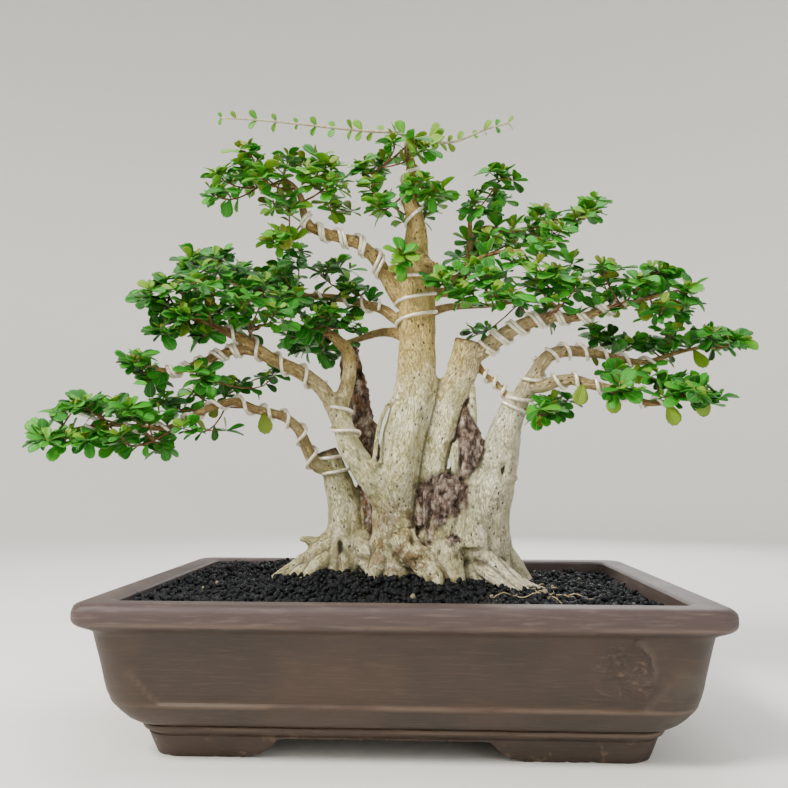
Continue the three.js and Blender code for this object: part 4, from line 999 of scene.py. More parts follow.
def wire_mesh(node):
    """All turns and strands of one node's wire"""
    bm = bmesh.new()
    for name, limb_name, start, end, turns, angle, strands in WIRES:
        if name != node:
            continue
        limb = ALL_LIMBS[limb_name]
        pitch = limb.length(40) * (end - start) / limb.spans / turns
        for strand in range(strands):
            phase = -2 * math.pi * strand * 2.15 * WIRE_RADIUS / pitch
            add_tube(bm, wound_rings(limb, start, end, turns, angle, phase=phase), 8)
    for name, limb_name, start, end, turns, angle in ANCHOR_TURNS:
        if name == node:
            add_tube(bm, wound_rings(ALL_LIMBS[limb_name], start, end, turns, angle, 30), 8)
    if node == "wire_low_left":
        loose_end = Limb([(-318, -40, 299), (-328, -46, 304), (-340, -50, 308), (-352, -53, 308),
                          (-362, -56, 305)])
        add_tube(bm, bent_rings([loose_end.point(s / 12) for s in range(13)], WIRE_RADIUS), 8)
    return mesh_from(bm, node)


# Leaves


def leaf_template(name, fold, droop, twist, thickness):
    """A spoon-shaped leaf lying along +Y with its face up, in millimetres at size 1"""
    bm = bmesh.new()
    last = len(LEAF_ROWS) - 1
    grid = bmesh.ops.create_grid(bm, x_segments=4, y_segments=last, size=0.5)["verts"]
    uvs = bm.loops.layers.uv.new("leaf")
    flat = {}
    for v in grid:
        u = v.co.x * 2
        row = round((v.co.y + 0.5) * last)
        share = LEAF_ROWS[row]
        flat[v] = (u, share)
        notch = 0.05 * max(0.0, 1 - 2.2 * abs(u)) if row == last else 0.0
        along = share * (1 - 0.05 * u * u * share ** 3) - notch
        width = u * LEAF_WIDTHS[row]
        lift = fold * abs(width) * LEAF_WIDTH - droop * along * along + twist * width * along
        v.co = Vector((width * LEAF_WIDTH, along * LEAF_LENGTH, lift))
    for face in bm.faces:
        for loop in face.loops:
            u, v = flat[loop.vert]
            loop[uvs].uv = (u * 0.5 + 0.5, v)
    bmesh.ops.solidify(bm, geom=bm.faces[:], thickness=thickness)
    return mesh_from(bm, name)


def repeated(name, templates, placings, smooth=True):
    """One mesh of many copies. Each placing has its template's number, a matrix and a tone."""
    shapes = []
    for template in templates:
        corners = np.empty(len(template.loops), int)
        template.loops.foreach_get("vertex_index", corners)
        starts = np.empty(len(template.polygons), int)
        template.polygons.foreach_get("loop_start", starts)
        uv = np.zeros(len(template.loops) * 2)
        if template.uv_layers:
            template.uv_layers[0].data.foreach_get("uv", uv)
        shapes.append((points_of(template), corners, starts, uv))
    points, corners, starts, uvs, tones = [], [], [], [], []
    vertex_count = 0
    corner_count = 0
    for number, matrix, tone in placings:
        shape_points, shape_corners, shape_starts, shape_uv = shapes[number]
        turn = np.array(matrix)
        points.append(shape_points @ turn[:3, :3].T + turn[:3, 3])
        corners.append(shape_corners + vertex_count)
        starts.append(shape_starts + corner_count)
        uvs.append(shape_uv)
        tones.append(np.full(len(shape_points), tone))
        vertex_count += len(shape_points)
        corner_count += len(shape_corners)
    mesh = bpy.data.meshes.new(name)
    mesh.vertices.add(vertex_count)
    mesh.vertices.foreach_set("co", np.concatenate(points).ravel())
    mesh.loops.add(corner_count)
    mesh.loops.foreach_set("vertex_index", np.concatenate(corners))
    starts = np.concatenate(starts)
    mesh.polygons.add(len(starts))
    mesh.polygons.foreach_set("loop_start", starts)
    mesh.update(calc_edges=True)
    layer = mesh.uv_layers.new(name="leaf")
    layer.data.foreach_set("uv", np.concatenate(uvs))
    keep_attribute(mesh, "tone", "FLOAT", np.concatenate(tones))
    if smooth:
        mesh.shade_smooth()
    return mesh


def leaf_matrix(place, along, face, size):
    """Where a leaf lies: its foot, the way it points, the way that its upper face looks, and its size"""
    columns = np.stack([np.cross(along, face), along, face], 1) * size * MM
    matrix = Matrix.Identity(4)
    for row in range(3):
        for column in range(3):
            matrix[row][column] = columns[row][column]
    matrix.translation = placed(*place)
    return matrix


class Hub:
    """The middle of a rosette, facing up and to the light"""

    def __init__(self, place, heading, seed, attempt, leaves, size):
        tilt = [draw(seed, 40 + index + 3 * attempt) - 0.5 for index in range(3)]
        lean = np.array([0.9 * tilt[0], 0.9 * tilt[1] - 0.3, 0.9 + 0.5 * tilt[2]])
        self.place = np.array(place, float)
        self.normal = unit(heading * 0.4 + lean)
        self.first = unit(np.array([1.0, 0.0, 0.0]) - self.normal * self.normal[0])
        self.second = np.cross(self.normal, self.first)
        self.leaves = leaves
        self.size = size
        self.seed = seed

    def leaf(self, index):
        """Which way leaf number index points, the way of its width, its upper face and its size"""
        azimuth = (index + 0.5) / self.leaves * 2 * math.pi
        radial = self.first * math.cos(azimuth) + self.second * math.sin(azimuth)
        tangent = np.cross(self.normal, radial)
        lift = -0.15 + 0.85 * draw(self.seed, index * 3 + 1)
        twist = 0.8 * (draw(self.seed, index * 3 + 2) - 0.5)
        along = radial * math.cos(lift) + self.normal * math.sin(lift)
        upright = np.cross(along, tangent)
        across = tangent * math.cos(twist) + upright * math.sin(twist)
        size = self.size * (0.8 + 0.4 * draw(self.seed, index * 3 + 3))
        return along, across, np.cross(along, across), size

    def tips(self):
        """The corner beside each leaf's notch, on the upper face of the frame's blade"""
        found = []
        for index in range(self.leaves):
            along, across, face, size = self.leaf(index)
            width, length = 0.3, 0.97
            lift = BLADE_THICKNESS / 2 + (LEAF_FOLD * width * LEAF_WIDTH - LEAF_DROOP * length ** 2) * size
            found.append(self.place + across * width * LEAF_WIDTH * size + along * length * LEAF_LENGTH * size
                         + face * lift)
        return np.array(found)


def framed_hub(place, heading, seed, leaves, node_points):
    """The rosette as the frame's node holds it, or None where the node has none at this place"""
    best = None
    least = 1.5
    for attempt in range(12):
        hub = Hub(place, heading, seed, attempt, leaves, 1.0 if attempt < 6 else 0.8)
        apart = np.linalg.norm(hub.tips()[:, None] - node_points[None], axis=2).min(1).mean()
        if apart < least:
            best = hub
            least = apart
    return best


WOOD_AXIS = NearestLimb(list(ALL_LIMBS))


def clear_of_wood(points, room):
    return WOOD_AXIS.look(np.array(points))[1].min() > room


UP = np.array([0.0, 0.0, 1.0])

# The way that most leaves look: up and to the viewer
LIGHT = np.array([0.0, -0.45, 0.89])


class Spray:
    """Leaves and twigs gathered for one limb"""

    def __init__(self, limb_name):
        self.limb = ALL_LIMBS[limb_name]
        # Painted light and shade: the leaves of the top and front limbs lighter, those of the back and inner
        # limbs darker
        self.tone = TONES.get(limb_name, 0.0)
        self.leaves = []
        self.twigs = bmesh.new()

    def add_leaf(self, place, along, face, size, tone, kind, sure=False):
        middle = place + along * LEAF_LENGTH * size * 0.5
        tip = place + along * LEAF_LENGTH * size
        if sure or clear_of_wood([middle, tip], 0.8):
            form = pick(len(LEAF_FORMS), kind)
            self.leaves.append((form, leaf_matrix(place, along, face, size), tone + self.tone))

    def add_facing_leaf(self, place, along, size, tone, seed, sure=False):
        """A leaf that turns its face to the light as far as the way it points lets it"""
        lean = LIGHT + 1.1 * (np.array([draw(seed, 1), draw(seed, 2), draw(seed, 3)]) - 0.5)
        face = unit(lean - along * lean.dot(along))
        self.add_leaf(place, along, face, size, tone, draw(seed, 4), sure)

    def add_rosette(self, hub):
        """The leaves of a rosette that the frame has too"""
        for index in range(hub.leaves):
            along, _, face, size = hub.leaf(index)
            tone = 0.1 + 0.45 * draw(hub.seed, 70 + index)
            self.add_leaf(hub.place + along * 1.2, along, face, size, tone, draw(hub.seed, 90 + index), True)

    def add_whorl(self, place, normal, count, size, tone, seed, rise):
        """Leaves spread evenly round a shoot's end, flat across it or rising with it"""
        first = unit(np.cross(normal, [0.3, 1.0, 0.2]))
        second = np.cross(normal, first)
        for index in range(count):
            azimuth = (index + 0.9 * draw(seed, 50 + index)) / count * 2 * math.pi
            lift = rise + 0.7 * (draw(seed, 60 + index) - 0.5)
            radial = first * math.cos(azimuth) + second * math.sin(azimuth)
            along = radial * math.cos(lift) + normal * math.sin(lift)
            grown = size * (0.6 + 0.65 * draw(seed, 70 + index))
            shade = tone + 0.4 * (draw(seed, 80 + index) - 0.5)
            self.add_facing_leaf(place + along * 1.0, along, grown, shade, seed + 3.1 * index)

    def add_head(self, hub, young):
        """What stands in a rosette beyond the frame's leaves: a second whorl and a crown of young leaves"""
        seed = hub.seed
        normal = unit(hub.normal * 0.7 + UP)
        self.add_whorl(hub.place - normal * 4.0, normal, 5, 0.85, 0.25, seed + 11, -0.05)
        self.add_whorl(hub.place + normal * 0.5, normal, 3, young * 1.2, 0.6, seed + 13, 0.25)
        self.add_whorl(hub.place + normal * 2.0, normal, 2, young * 0.8, 0.85, seed + 17, 0.8)

    def add_twig(self, start, end, bow, radius, seed):
        """A twig that rises into a rosette"""
        reach = np.linalg.norm(end - start)
        sway = np.array([draw(seed, 7) - 0.5, draw(seed, 8) - 0.5, 0]) * 0.3 * reach
        middle = end - bow * 0.38 * reach + sway

        def point(t):
            return start * (1 - t) ** 2 + middle * 2 * t * (1 - t) + end * t * t
        steps = 6 if reach > 25 else 4
        rings = bent_rings([point(t / steps) for t in range(steps + 1)], radius)
        rings = [(p, s, a, radius * (1 - 0.35 * i / steps)) for i, (p, s, a, _) in enumerate(rings)]
        add_tube(self.twigs, rings, 5)
        return point

    def add_side_leaves(self, point, seed, first, last, count):
        """Leaves that stand along a twig on all sides"""
        for index in range(count):
            moved = (last - first) * (index + 0.6 * draw(seed, 140 + index))
            t = min(0.97, first + moved / max(1, count - 1))
            way = unit(point(min(1.0, t + 0.02)) - point(max(0.0, t - 0.02)))
            spin = index * 2.4 + 6.28 * draw(seed, 150)
            side = unit(np.cross(way, [math.cos(spin), math.sin(spin), 0.35]))
            along = unit(side + way * 0.4 + np.array([0, -0.2, -0.3 * draw(seed, 160 + index)]))
            size = 0.5 + 0.5 * draw(seed, 180 + index)
            old = draw(seed, 190 + index)
            tone = 0.95 if old > 0.94 else 0.08 + 0.45 * old
            self.add_facing_leaf(point(t), along, size, tone, seed + 5.3 * index)

    def add_side_shoots(self, point, seed, young):
        """Two short shoots that spread a spray sideways into a flat pad"""
        for number, t in enumerate((0.5, 0.78)):
            start = point(t)
            turn = 1 if draw(seed, 215) > 0.5 else -1
            angle = (0.25 + 0.5 * draw(seed, 210 + number) + number) * math.pi * turn
            rise = 0.45 * (draw(seed, 220 + number) - 0.2)
            way = np.array([math.cos(angle), 0.8 * math.sin(angle) - 0.2, rise])
            end = start + unit(way) * (14 + 11 * draw(seed, 230 + number))
            if not clear_of_wood([end], 5):
                continue
            self.add_twig(start, end, unit(way), TWIG_RADIUS * 0.62, seed + number)
            normal = unit(way * 0.4 + UP)
            self.add_whorl(end, normal, 5, 0.8, 0.32, seed + 23 + number, 0.1)
            self.add_whorl(end + normal * 1.5, normal, 2, young, 0.7, seed + 29 + number, 0.6)

    def add_tufts(self, first):
        """Small tufts on the limb itself, from a share along it out to its end"""
        length = self.limb.length(30)
        count = int(length * (1 - first) / 15)
        for index in range(count):
            seed = length + 1.7 * index
            share = first + (1 - first) * (index + 0.6 * draw(seed, 1)) / count
            way = self.limb.tangent(share)
            angle = 6.28 * draw(seed, 2)
            out = unit(np.cross(way, [math.cos(angle), math.sin(angle), 0.2]) + np.array([0, -0.35, 0.45]))
            out = unit(out - way * out.dot(way))
            foot = self.limb.point(share) + out * self.limb.radius(share) * 0.9
            for leaf in range(3):
                turn = out + way * (leaf - 1) * 0.9 + np.array([0.0, -0.25, 0.1 * leaf])
                tone = 0.1 + 0.5 * draw(seed, 5 + leaf)
                size = 0.6 + 0.4 * draw(seed, 9 + leaf)
                self.add_facing_leaf(foot, unit(turn), size, tone, seed + 7.7 * leaf)

    def add_hanging_leaf(self, share, swing, shift=(0, 0, 0)):
        """An old leaf that hangs by itself from the limb's front, or from a twig beside it"""
        way = self.limb.tangent(share)
        out = np.array([0.0, -1.0, -0.55])
        out = unit(out - way * out.dot(way))
        foot = self.limb.point(share) + out * self.limb.radius(share) * 0.85 + np.array(shift)
        along = unit(np.array([swing, -0.32, -0.95]))
        lean = np.array([0.1, -1.0, 0.25])
        face = unit(lean - along * lean.dot(along))
        self.add_leaf(foot, along, face, 1.12, 0.86, draw(share, 3), True)


def grow_sprays(young):
    """Every limb's leaves and twigs, with the names of the nodes that they stand for"""
    grown = {}
    counts = {}
    for number, (limb_name, share, framed, further) in enumerate(SPRAYS, start=1):
        counts[limb_name] = counts.get(limb_name, 0) + 1
        node = f"spray_{limb_name}_{counts[limb_name]}"
        spray, nodes = grown.setdefault(limb_name, (Spray(limb_name), []))
        nodes.append(node)
        node_points = in_millimetres(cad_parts[node].data)
        root = spray.limb.point(share)
        stem = None
        for index, end in enumerate(framed + further):
            heading = unit(np.array(end, float) - root)
            seed = number + index * 0.37
            leaves = 5 if (number + index) % 2 == 0 else 4
            hub = framed_hub(end, heading, seed, leaves, node_points) if index < len(framed) else None
            if hub is None:
                hub = Hub(end, heading, seed + 50, 0, 0, 1.0)
            spray.add_rosette(hub)
            spray.add_head(hub, young)
            start = root if stem is None else stem(0.35)
            radius = TWIG_RADIUS * (1.0 if stem is None else 0.85)
            twig = spray.add_twig(start, hub.place, hub.normal, radius, seed)
            spray.add_side_leaves(twig, seed, 0.4 if stem is None else 0.3, 0.92, 7)
            spray.add_side_shoots(twig, seed, young)
            stem = stem or twig
    for limb_name, first in TUFTED.items():
        grown[limb_name][0].add_tufts(first)
    for limb_name, *hanging in HANGING:
        grown[limb_name][0].add_hanging_leaf(*hanging)
    return grown


def leaf_material():
    """Glossy green with a lighter rib and edge, yellower on old leaves"""
    maker = Maker("leaf", Specular_IOR_Level=0.38)
    place = maker.place()
    tone = maker.attribute("tone")
    uv = maker.node("ShaderNodeUVMap", {"uv_map": "leaf"})
    across = maker.axis(uv, "X")
    along = maker.axis(uv, "Y")
    off_rib = abs(across - 0.5)
    rib = maker.between(off_rib, 0.045, 0.01)
    veins = maker.node("ShaderNodeMath", {"operation": "SINE"}, {0: along * 42.0 - off_rib * 30.0})
    vein = maker.between(veins, 0.7, 1.0)
    edge = maker.between(off_rib, 0.42, 0.5)
    patch = maker.noise(place, 120.0, 3.0)
    bough = maker.noise(place, 14.0, 2.0)
    shade = tone + patch * 0.24 + bough * 0.5 - 0.36
    colour = maker.ramp(shade, [
        (0.0, linear("093c07")), (0.25, linear("136c0e")), (0.5, linear("309413")),
        (0.75, linear("729c16")), (0.95, linear("6e781c"))])
    colour = maker.mix(rib * 0.4 + vein * 0.12, colour, linear("7aaa36"))
    colour = maker.mix(edge * 0.22, colour, linear("8fae42"))
    specks = maker.between(maker.cells(place, 700.0), 0.14, 0.07)
    colour = maker.mix(specks * 0.12, colour, linear("d4e0b0"))
    roughness = 0.34 + patch * 0.22
    relief = patch * 0.4 - rib * 0.7 - vein * 0.35
    return maker.done(Base_Color=colour, Roughness=roughness, Normal=maker.bump(relief, 0.7, 0.0007))


def twig_material(name, dark, middle, light):
    maker = Maker(name, Roughness=0.7, Specular_IOR_Level=0.35)
    mottle = maker.noise(maker.place(), 240.0, 4.0)
    colour = maker.ramp(mottle, [(0.3, linear(dark)), (0.55, linear(middle)), (0.75, linear(light))])
    return maker.done(Base_Color=colour, Normal=maker.bump(mottle, 0.4, 0.0006))


# The long shoots


def shoot_leaves(limb, pairs, seed):
    """Small leaves in pairs, one up and one down, that grow smaller towards the shoot's end"""
    placings = []
    for pair in range(pairs):
        share = min(1.0, 0.1 + 0.89 * (pair + 0.3 * draw(seed, pair)) / (pairs - 1))
        here = limb.point(share)
        way = limb.tangent(share)
        turn = 0.9 * (draw(seed, 10 + pair) - 0.5) + (0.9 if pair % 2 else 0.0)
        for sign in (1, -1):
            side = np.array([0.0, -math.sin(turn), math.cos(turn)]) * sign
            along = unit(side + way * (0.35 + 0.5 * draw(seed, 50 + pair)))
            lean = np.array([0.3 * (draw(seed, 60 + pair + sign) - 0.5), -0.9, 0.5])
            face = unit(lean - along * lean.dot(along))
            if draw(seed, 70 + pair + 30 * sign) < 0.12:
                continue
            size = (0.7 - 0.28 * share) * (0.6 + 0.75 * draw(seed, 20 + pair + 40 * sign))
            tone = 0.52 + 0.3 * draw(seed, 30 + pair)
            form = pick(len(LEAF_FORMS), draw(seed, 40 + pair))
            placings.append((form, leaf_matrix(here, along, face, size), tone))
    return placings


# The soil


def soil_height(x, y):
    """How high the grit lies at a place: heaped round the trunks and flat along the walls"""
    heap = 12 * math.exp(-((x / 150) ** 2) - (((y - 25) / 95) ** 2))
    mound = 12 * math.exp(-(((x + 100) / 75) ** 2) - (((y - 95) / 60) ** 2))
    grains = 1.2 * math.sin(x * 0.21) * math.cos(y * 0.17) + 0.8 * math.sin(x * 0.07 + y * 0.11)
    wall_x = (POT_LENGTH / 2 - LIP_WIDTH - abs(x)) / 40
    wall_y = (POT_DEPTH / 2 - LIP_WIDTH - abs(y)) / 40
    fade = min(1.0, max(0.0, min(wall_x, wall_y)))
    return SOIL_LEVEL - x * 0.018 + (heap + mound) * fade + grains


def inside_lip(x, y, inset, corner):
    """Whether a place lies inside the lip's rounded rectangle, inset from the rim"""
    over_x = max(0.0, abs(x) - (POT_LENGTH / 2 - inset - corner))
    over_y = max(0.0, abs(y) - (POT_DEPTH / 2 - inset - corner))
    return math.hypot(over_x, over_y) <= corner


def soil_bed_mesh():
    """The closed body of the soil under the loose grains"""
    half_x = POT_LENGTH / 2 - LIP_WIDTH - 1.5
    half_y = POT_DEPTH / 2 - LIP_WIDTH - 1.5
    corner = 12
    bm = bmesh.new()
    grid = bmesh.ops.create_grid(bm, x_segments=64, y_segments=44, size=0.5)["verts"]
    for v in grid:
        x = v.co.x * 2 * half_x
        y = v.co.y * 2 * half_y
        over_x = max(0.0, abs(x) - (half_x - corner))
        over_y = max(0.0, abs(y) - (half_y - corner))
        reach = math.hypot(over_x, over_y)
        if reach > corner:
            x -= math.copysign(over_x * (1 - corner / reach), x)
            y -= math.copysign(over_y * (1 - corner / reach), y)
        v.co = placed(x, y, soil_height(x, y) - 2.2 + 1.5 * noise.noise(Vector((x, y, 0)) * 0.2))
    skirt = bmesh.ops.extrude_face_region(bm, geom=bm.faces[:])["geom"]
    low = [v for v in skirt if isinstance(v, bmesh.types.BMVert)]
    for v in low:
        x = (v.co.x - POT_MIDDLE) / MM
        y = v.co.y / MM
        v.co = placed(x * 0.965, y * 0.955, SOIL_BOTTOM)
    return mesh_from(bm, "soil_bed")


def grain_templates():
    templates = []
    for number in range(GRAIN_FORMS):
        bm = bmesh.new()
        bmesh.ops.create_icosphere(bm, subdivisions=1, radius=1)
        for v in bm.verts:
            v.co *= 0.62 + 0.75 * draw(number + 3, v.index)
        templates.append(mesh_from(bm, f"grain_{number}", smooth=False))
    return templates


def turned(seed):
    """A matrix turned every way by repeatable draws"""
    turn = Matrix.Rotation(6.283 * draw(seed, 1), 4, "X") @ Matrix.Rotation(6.283 * draw(seed, 2), 4, "Y")
    return turn @ Matrix.Rotation(6.283 * draw(seed, 3), 4, "Z")


def grit_placings(settings):
    """Where each loose grain lies, with its form and tone"""
    placings = []
    pitch = settings.pitch / MM
    columns = int(POT_LENGTH / pitch)
    rows = int(POT_DEPTH / pitch)
    for row in range(rows):
        for column in range(columns):
            seed = row * 131.7 + column
            x = (column + draw(seed, 4) + 0.5 * (row % 2)) * pitch - POT_LENGTH / 2
            y = (row + draw(seed, 5)) * pitch - POT_DEPTH / 2
            if not inside_lip(x, y, LIP_WIDTH + 3, 12):
                continue
            size = settings.grain / MM * (0.55 + 0.95 * draw(seed, 6) ** 1.6)
            z = soil_height(x, y) - 2.4 + 4.0 * draw(seed, 7)
            if WOOD_AXIS.look(np.array([[x, y, z]]))[1][0] < -2.5:
                continue
            matrix = Matrix.Translation(placed(x, y, z)) @ turned(seed) @ Matrix.Diagonal(
                (size * MM, size * MM * (0.75 + 0.25 * draw(seed, 8)), size * MM * 0.8, 1))
            placings.append((pick(GRAIN_FORMS, draw(seed, 9)), matrix, draw(seed, 10)))
    return placings


def grit_material(settings):
    maker = Maker("grit", Specular_IOR_Level=0.22)
    place = maker.place()
    tone = maker.attribute("tone")
    fine = maker.noise(place, 700.0, 3.0)
    dark = tuple(settings.colour)
    colour = maker.mix(maker.between(tone, 0.35, 1.0) * 0.55, dark, linear("12161c"))
    colour = maker.mix(maker.between(fine, 0.5, 0.75) * 0.35, colour, linear("23282f"))
    colour = maker.mix(maker.between(tone, 0.99, 0.994), colour, linear("857c66"))
    roughness = 0.3 + fine * 0.5
    return maker.done(Base_Color=colour, Roughness=roughness, Normal=maker.bump(fine, 0.9, 0.001))


def hair_roots_mesh():
    """Thin pale roots lying on the grit in front of the right trunk"""
    bm = bmesh.new()
    for number in range(14):
        x = 96 + 70 * draw(number, 1)
        y = -30 - 34 * draw(number, 2)
        angle = 6.28 * draw(number, 3)
        line = []
        for step in range(9):
            angle += 1.1 * (draw(number, 10 + step) - 0.5)
            x += 4.2 * math.cos(angle)
            y += 4.2 * math.sin(angle)
            line.append(np.array([x, y, soil_height(x, y) + 1.6 + 1.6 * math.sin(step * 0.9 + number)]))
        add_tube(bm, bent_rings(line, 0.5), 5)
    return mesh_from(bm, "hair_roots")


# The pot


def rounded_outline(inset, corner, corner_steps, long_steps, short_steps):
    """A rectangle with rounded corners, inset from the pot's rim, as points listed round from +X to +Y"""
    half_x = POT_LENGTH / 2 - inset - corner
    half_y = POT_DEPTH / 2 - inset - corner
    middles = [(half_x, half_y), (-half_x, half_y), (-half_x, -half_y), (half_x, -half_y)]
    points = []
    for quarter, (middle_x, middle_y) in enumerate(middles):
        for step in range(corner_steps + 1):
            angle = (quarter + step / corner_steps) * math.pi / 2
            points.append((middle_x + corner * math.cos(angle), middle_y + corner * math.sin(angle)))
        side_steps = long_steps if quarter % 2 == 0 else short_steps
        start_x, start_y = points[-1]
        next_x, next_y = middles[(quarter + 1) % 4]
        angle = (quarter + 1) * math.pi / 2
        end_x = next_x + corner * math.cos(angle)
        end_y = next_y + corner * math.sin(angle)
        for step in range(1, side_steps):
            part = step / side_steps
            points.append((start_x + (end_x - start_x) * part, start_y + (end_y - start_y) * part))
    return points


# The pot's section: height, inset from the rim, corner radius and rows up to the next place
POT_SECTION = [
    (18, 275, 1, 1), (18, 120, 12, 1), (18, 76, 12, 2), (0.8, 76, 12, 1), (0, 75.2, 12, 3), (0, 58, 24, 1),
    (0.8, 57, 24, 4), (19.4, 50.4, 26, 1), (20.6, 51, 26, 1), (21.6, 50.6, 26, 1), (22.4, 48.2, 27, 1),
    (23.8, 46.4, 28, 1), (26, 45.2, 29, 1), (28, 45.2, 29.5, 1), (29.2, 46.2, 29.5, 1), (30, 44.4, 30, 1),
    (31.5, 39.8, 31, 2), (36, 34, 32, 2), (42, 28.6, 33.5, 2), (48, 24.4, 34, 3), (54, 22, 34, 2),
    (60, 20.2, 33, 16), (110.6, 11, 30, 1), (112.6, 9.8, 28, 1), (114.4, 8, 25, 1), (116, 5.6, 22, 1),
    (117.8, 3.2, 20, 1), (119.8, 1.4, 18.6, 1), (122.2, 0.4, 17.4, 1), (125, 0, 17, 2), (130, 0, 17, 1),
    (132.6, 0.6, 17, 1), (134.8, 1.9, 16.5, 1), (136.3, 4, 16, 1), (137, 7, 16, 3), (137, 25, 14, 1),
    (136.4, 28, 13, 1), (134.6, 30, 12, 6), (62, 35, 18, 3), (44, 44, 20, 2), (32, 62, 22, 1),
    (32, 120, 22, 1), (32, 275, 1, 1),
]


def pot_rings():
    rings = []
    for low, high in zip(POT_SECTION, POT_SECTION[1:]):
        for step in range(low[3]):
            share = step / low[3]
            rings.append(tuple(a + (b - a) * share for a, b in zip(low[:3], high[:3])))
    rings.append(POT_SECTION[-1][:3])
    return rings


def panel_share(along, z, half_length):
    """How deep in a wall's sunk panel a place is, from 0 on the frame round it to 1 in the panel"""
    low_share = min(1.0, max(0.0, (WALL_LOW + PANEL_CORNER_HEIGHT - z) / PANEL_CORNER_HEIGHT))
    edge = half_length - PANEL_CORNER_WIDTH * low_share
    inner = min((edge - abs(along)) * (0.3 + 0.5 * min(1.0, 3 * low_share)), (z - WALL_LOW) * 1.6)
    fade_top = min(1.0, max(0.0, (WALL_HIGH + 8 - z) / 14))
    share = min(1.0, max(0.0, inner / 6 + 0.5))
    return share * share * (3 - 2 * share) * fade_top


def on_panel(x, y, z):
    """How deep in its wall's sunk panel a place on the pot's outside is"""
    if abs(y) / POT_DEPTH > abs(x) / POT_LENGTH:
        return panel_share(x, z, PANEL_HALF_FRONT)
    return panel_share(y, z, PANEL_HALF_SIDE)


def dent(x, z):
    """The scuffed patch near the front wall's right end: a hollow with a curled ridge beside it"""
    curl = math.hypot(x - DENT_X, (z - DENT_Z) / 1.1)
    ridge = math.exp(-((curl - 21) / 4.5) ** 2) * (1.0 if x > 190 and z > 74 else 0.15)
    hollow = 1.6 * math.exp(-((curl / 18) ** 4))
    rough = 1.4 * noise.noise(Vector((x, 7, z)) * 0.09) * math.exp(-((curl / 26) ** 4))
    return ridge * 3.2 - hollow + rough


def worked_wall(x, y, z, wobble):
    """How far the clay stands out at a place on the outer walls, in millimetres"""
    rough = noise.noise(Vector((x, y, z)) * 0.035) + 0.35 * noise.noise(Vector((x, y, z)) * 0.12)
    out = wobble * 1.6 * rough
    if WALL_LOW - 6 < z < WALL_HIGH + 10:
        out -= PANEL_DEPTH * on_panel(x, y, z)
    if z > 38:
        out += 0.9 * math.exp(-((z - RIDGE_HEIGHT) / 2.2) ** 2)
    if z < 29:
        chip = noise.noise(Vector((x, y, z * 2)) * 0.16)
        out -= 1.6 * max(0.0, chip - 0.28)
    if y < -150:
        out += dent(x, z)
    return out


def foot_gap(top_width, bottom_width, depth):
    """The low arch between two feet: half of its outline, mirrored and extruded through the foot ring"""
    bm = bmesh.new()
    shoulder = [(0, BELLY_HEIGHT), (top_width / 2 - 6, BELLY_HEIGHT), (top_width / 2, BELLY_HEIGHT - 1.4),
                (top_width / 2 + 3.4, BELLY_HEIGHT - 5), (top_width / 2 + 8, BELLY_HEIGHT - 10),
                (top_width / 2 + 17, 3.4), (bottom_width / 2, 1.6), (bottom_width / 2, -5), (0, -5)]
    steps = 26
    half_flat = top_width / 2 - 6
    outline = [(half_flat * s / steps, BELLY_HEIGHT) for s in range(steps)] + shoulder[1:-1]
    full = outline + [(-x, z) for x, z in reversed(outline) if x > 0]
    verts = [bm.verts.new((x, -depth / 2, z)) for x, z in full]
    face = bm.faces.new(verts)
    push = bmesh.ops.extrude_face_region(bm, geom=[face])["geom"]
    far = [v for v in push if isinstance(v, bmesh.types.BMVert)]
    bmesh.ops.translate(bm, verts=far, vec=(0, depth, 0))
    bmesh.ops.recalc_face_normals(bm, faces=bm.faces)
    return bm


def cutter_object(bm, matrix):
    mesh = bpy.data.meshes.new("cutter")
    bm.transform(matrix)
    bm.to_mesh(mesh)
    bm.free()
    cutter = bpy.data.objects.new("cutter", mesh)
    bpy.context.scene.collection.objects.link(cutter)
    return cutter


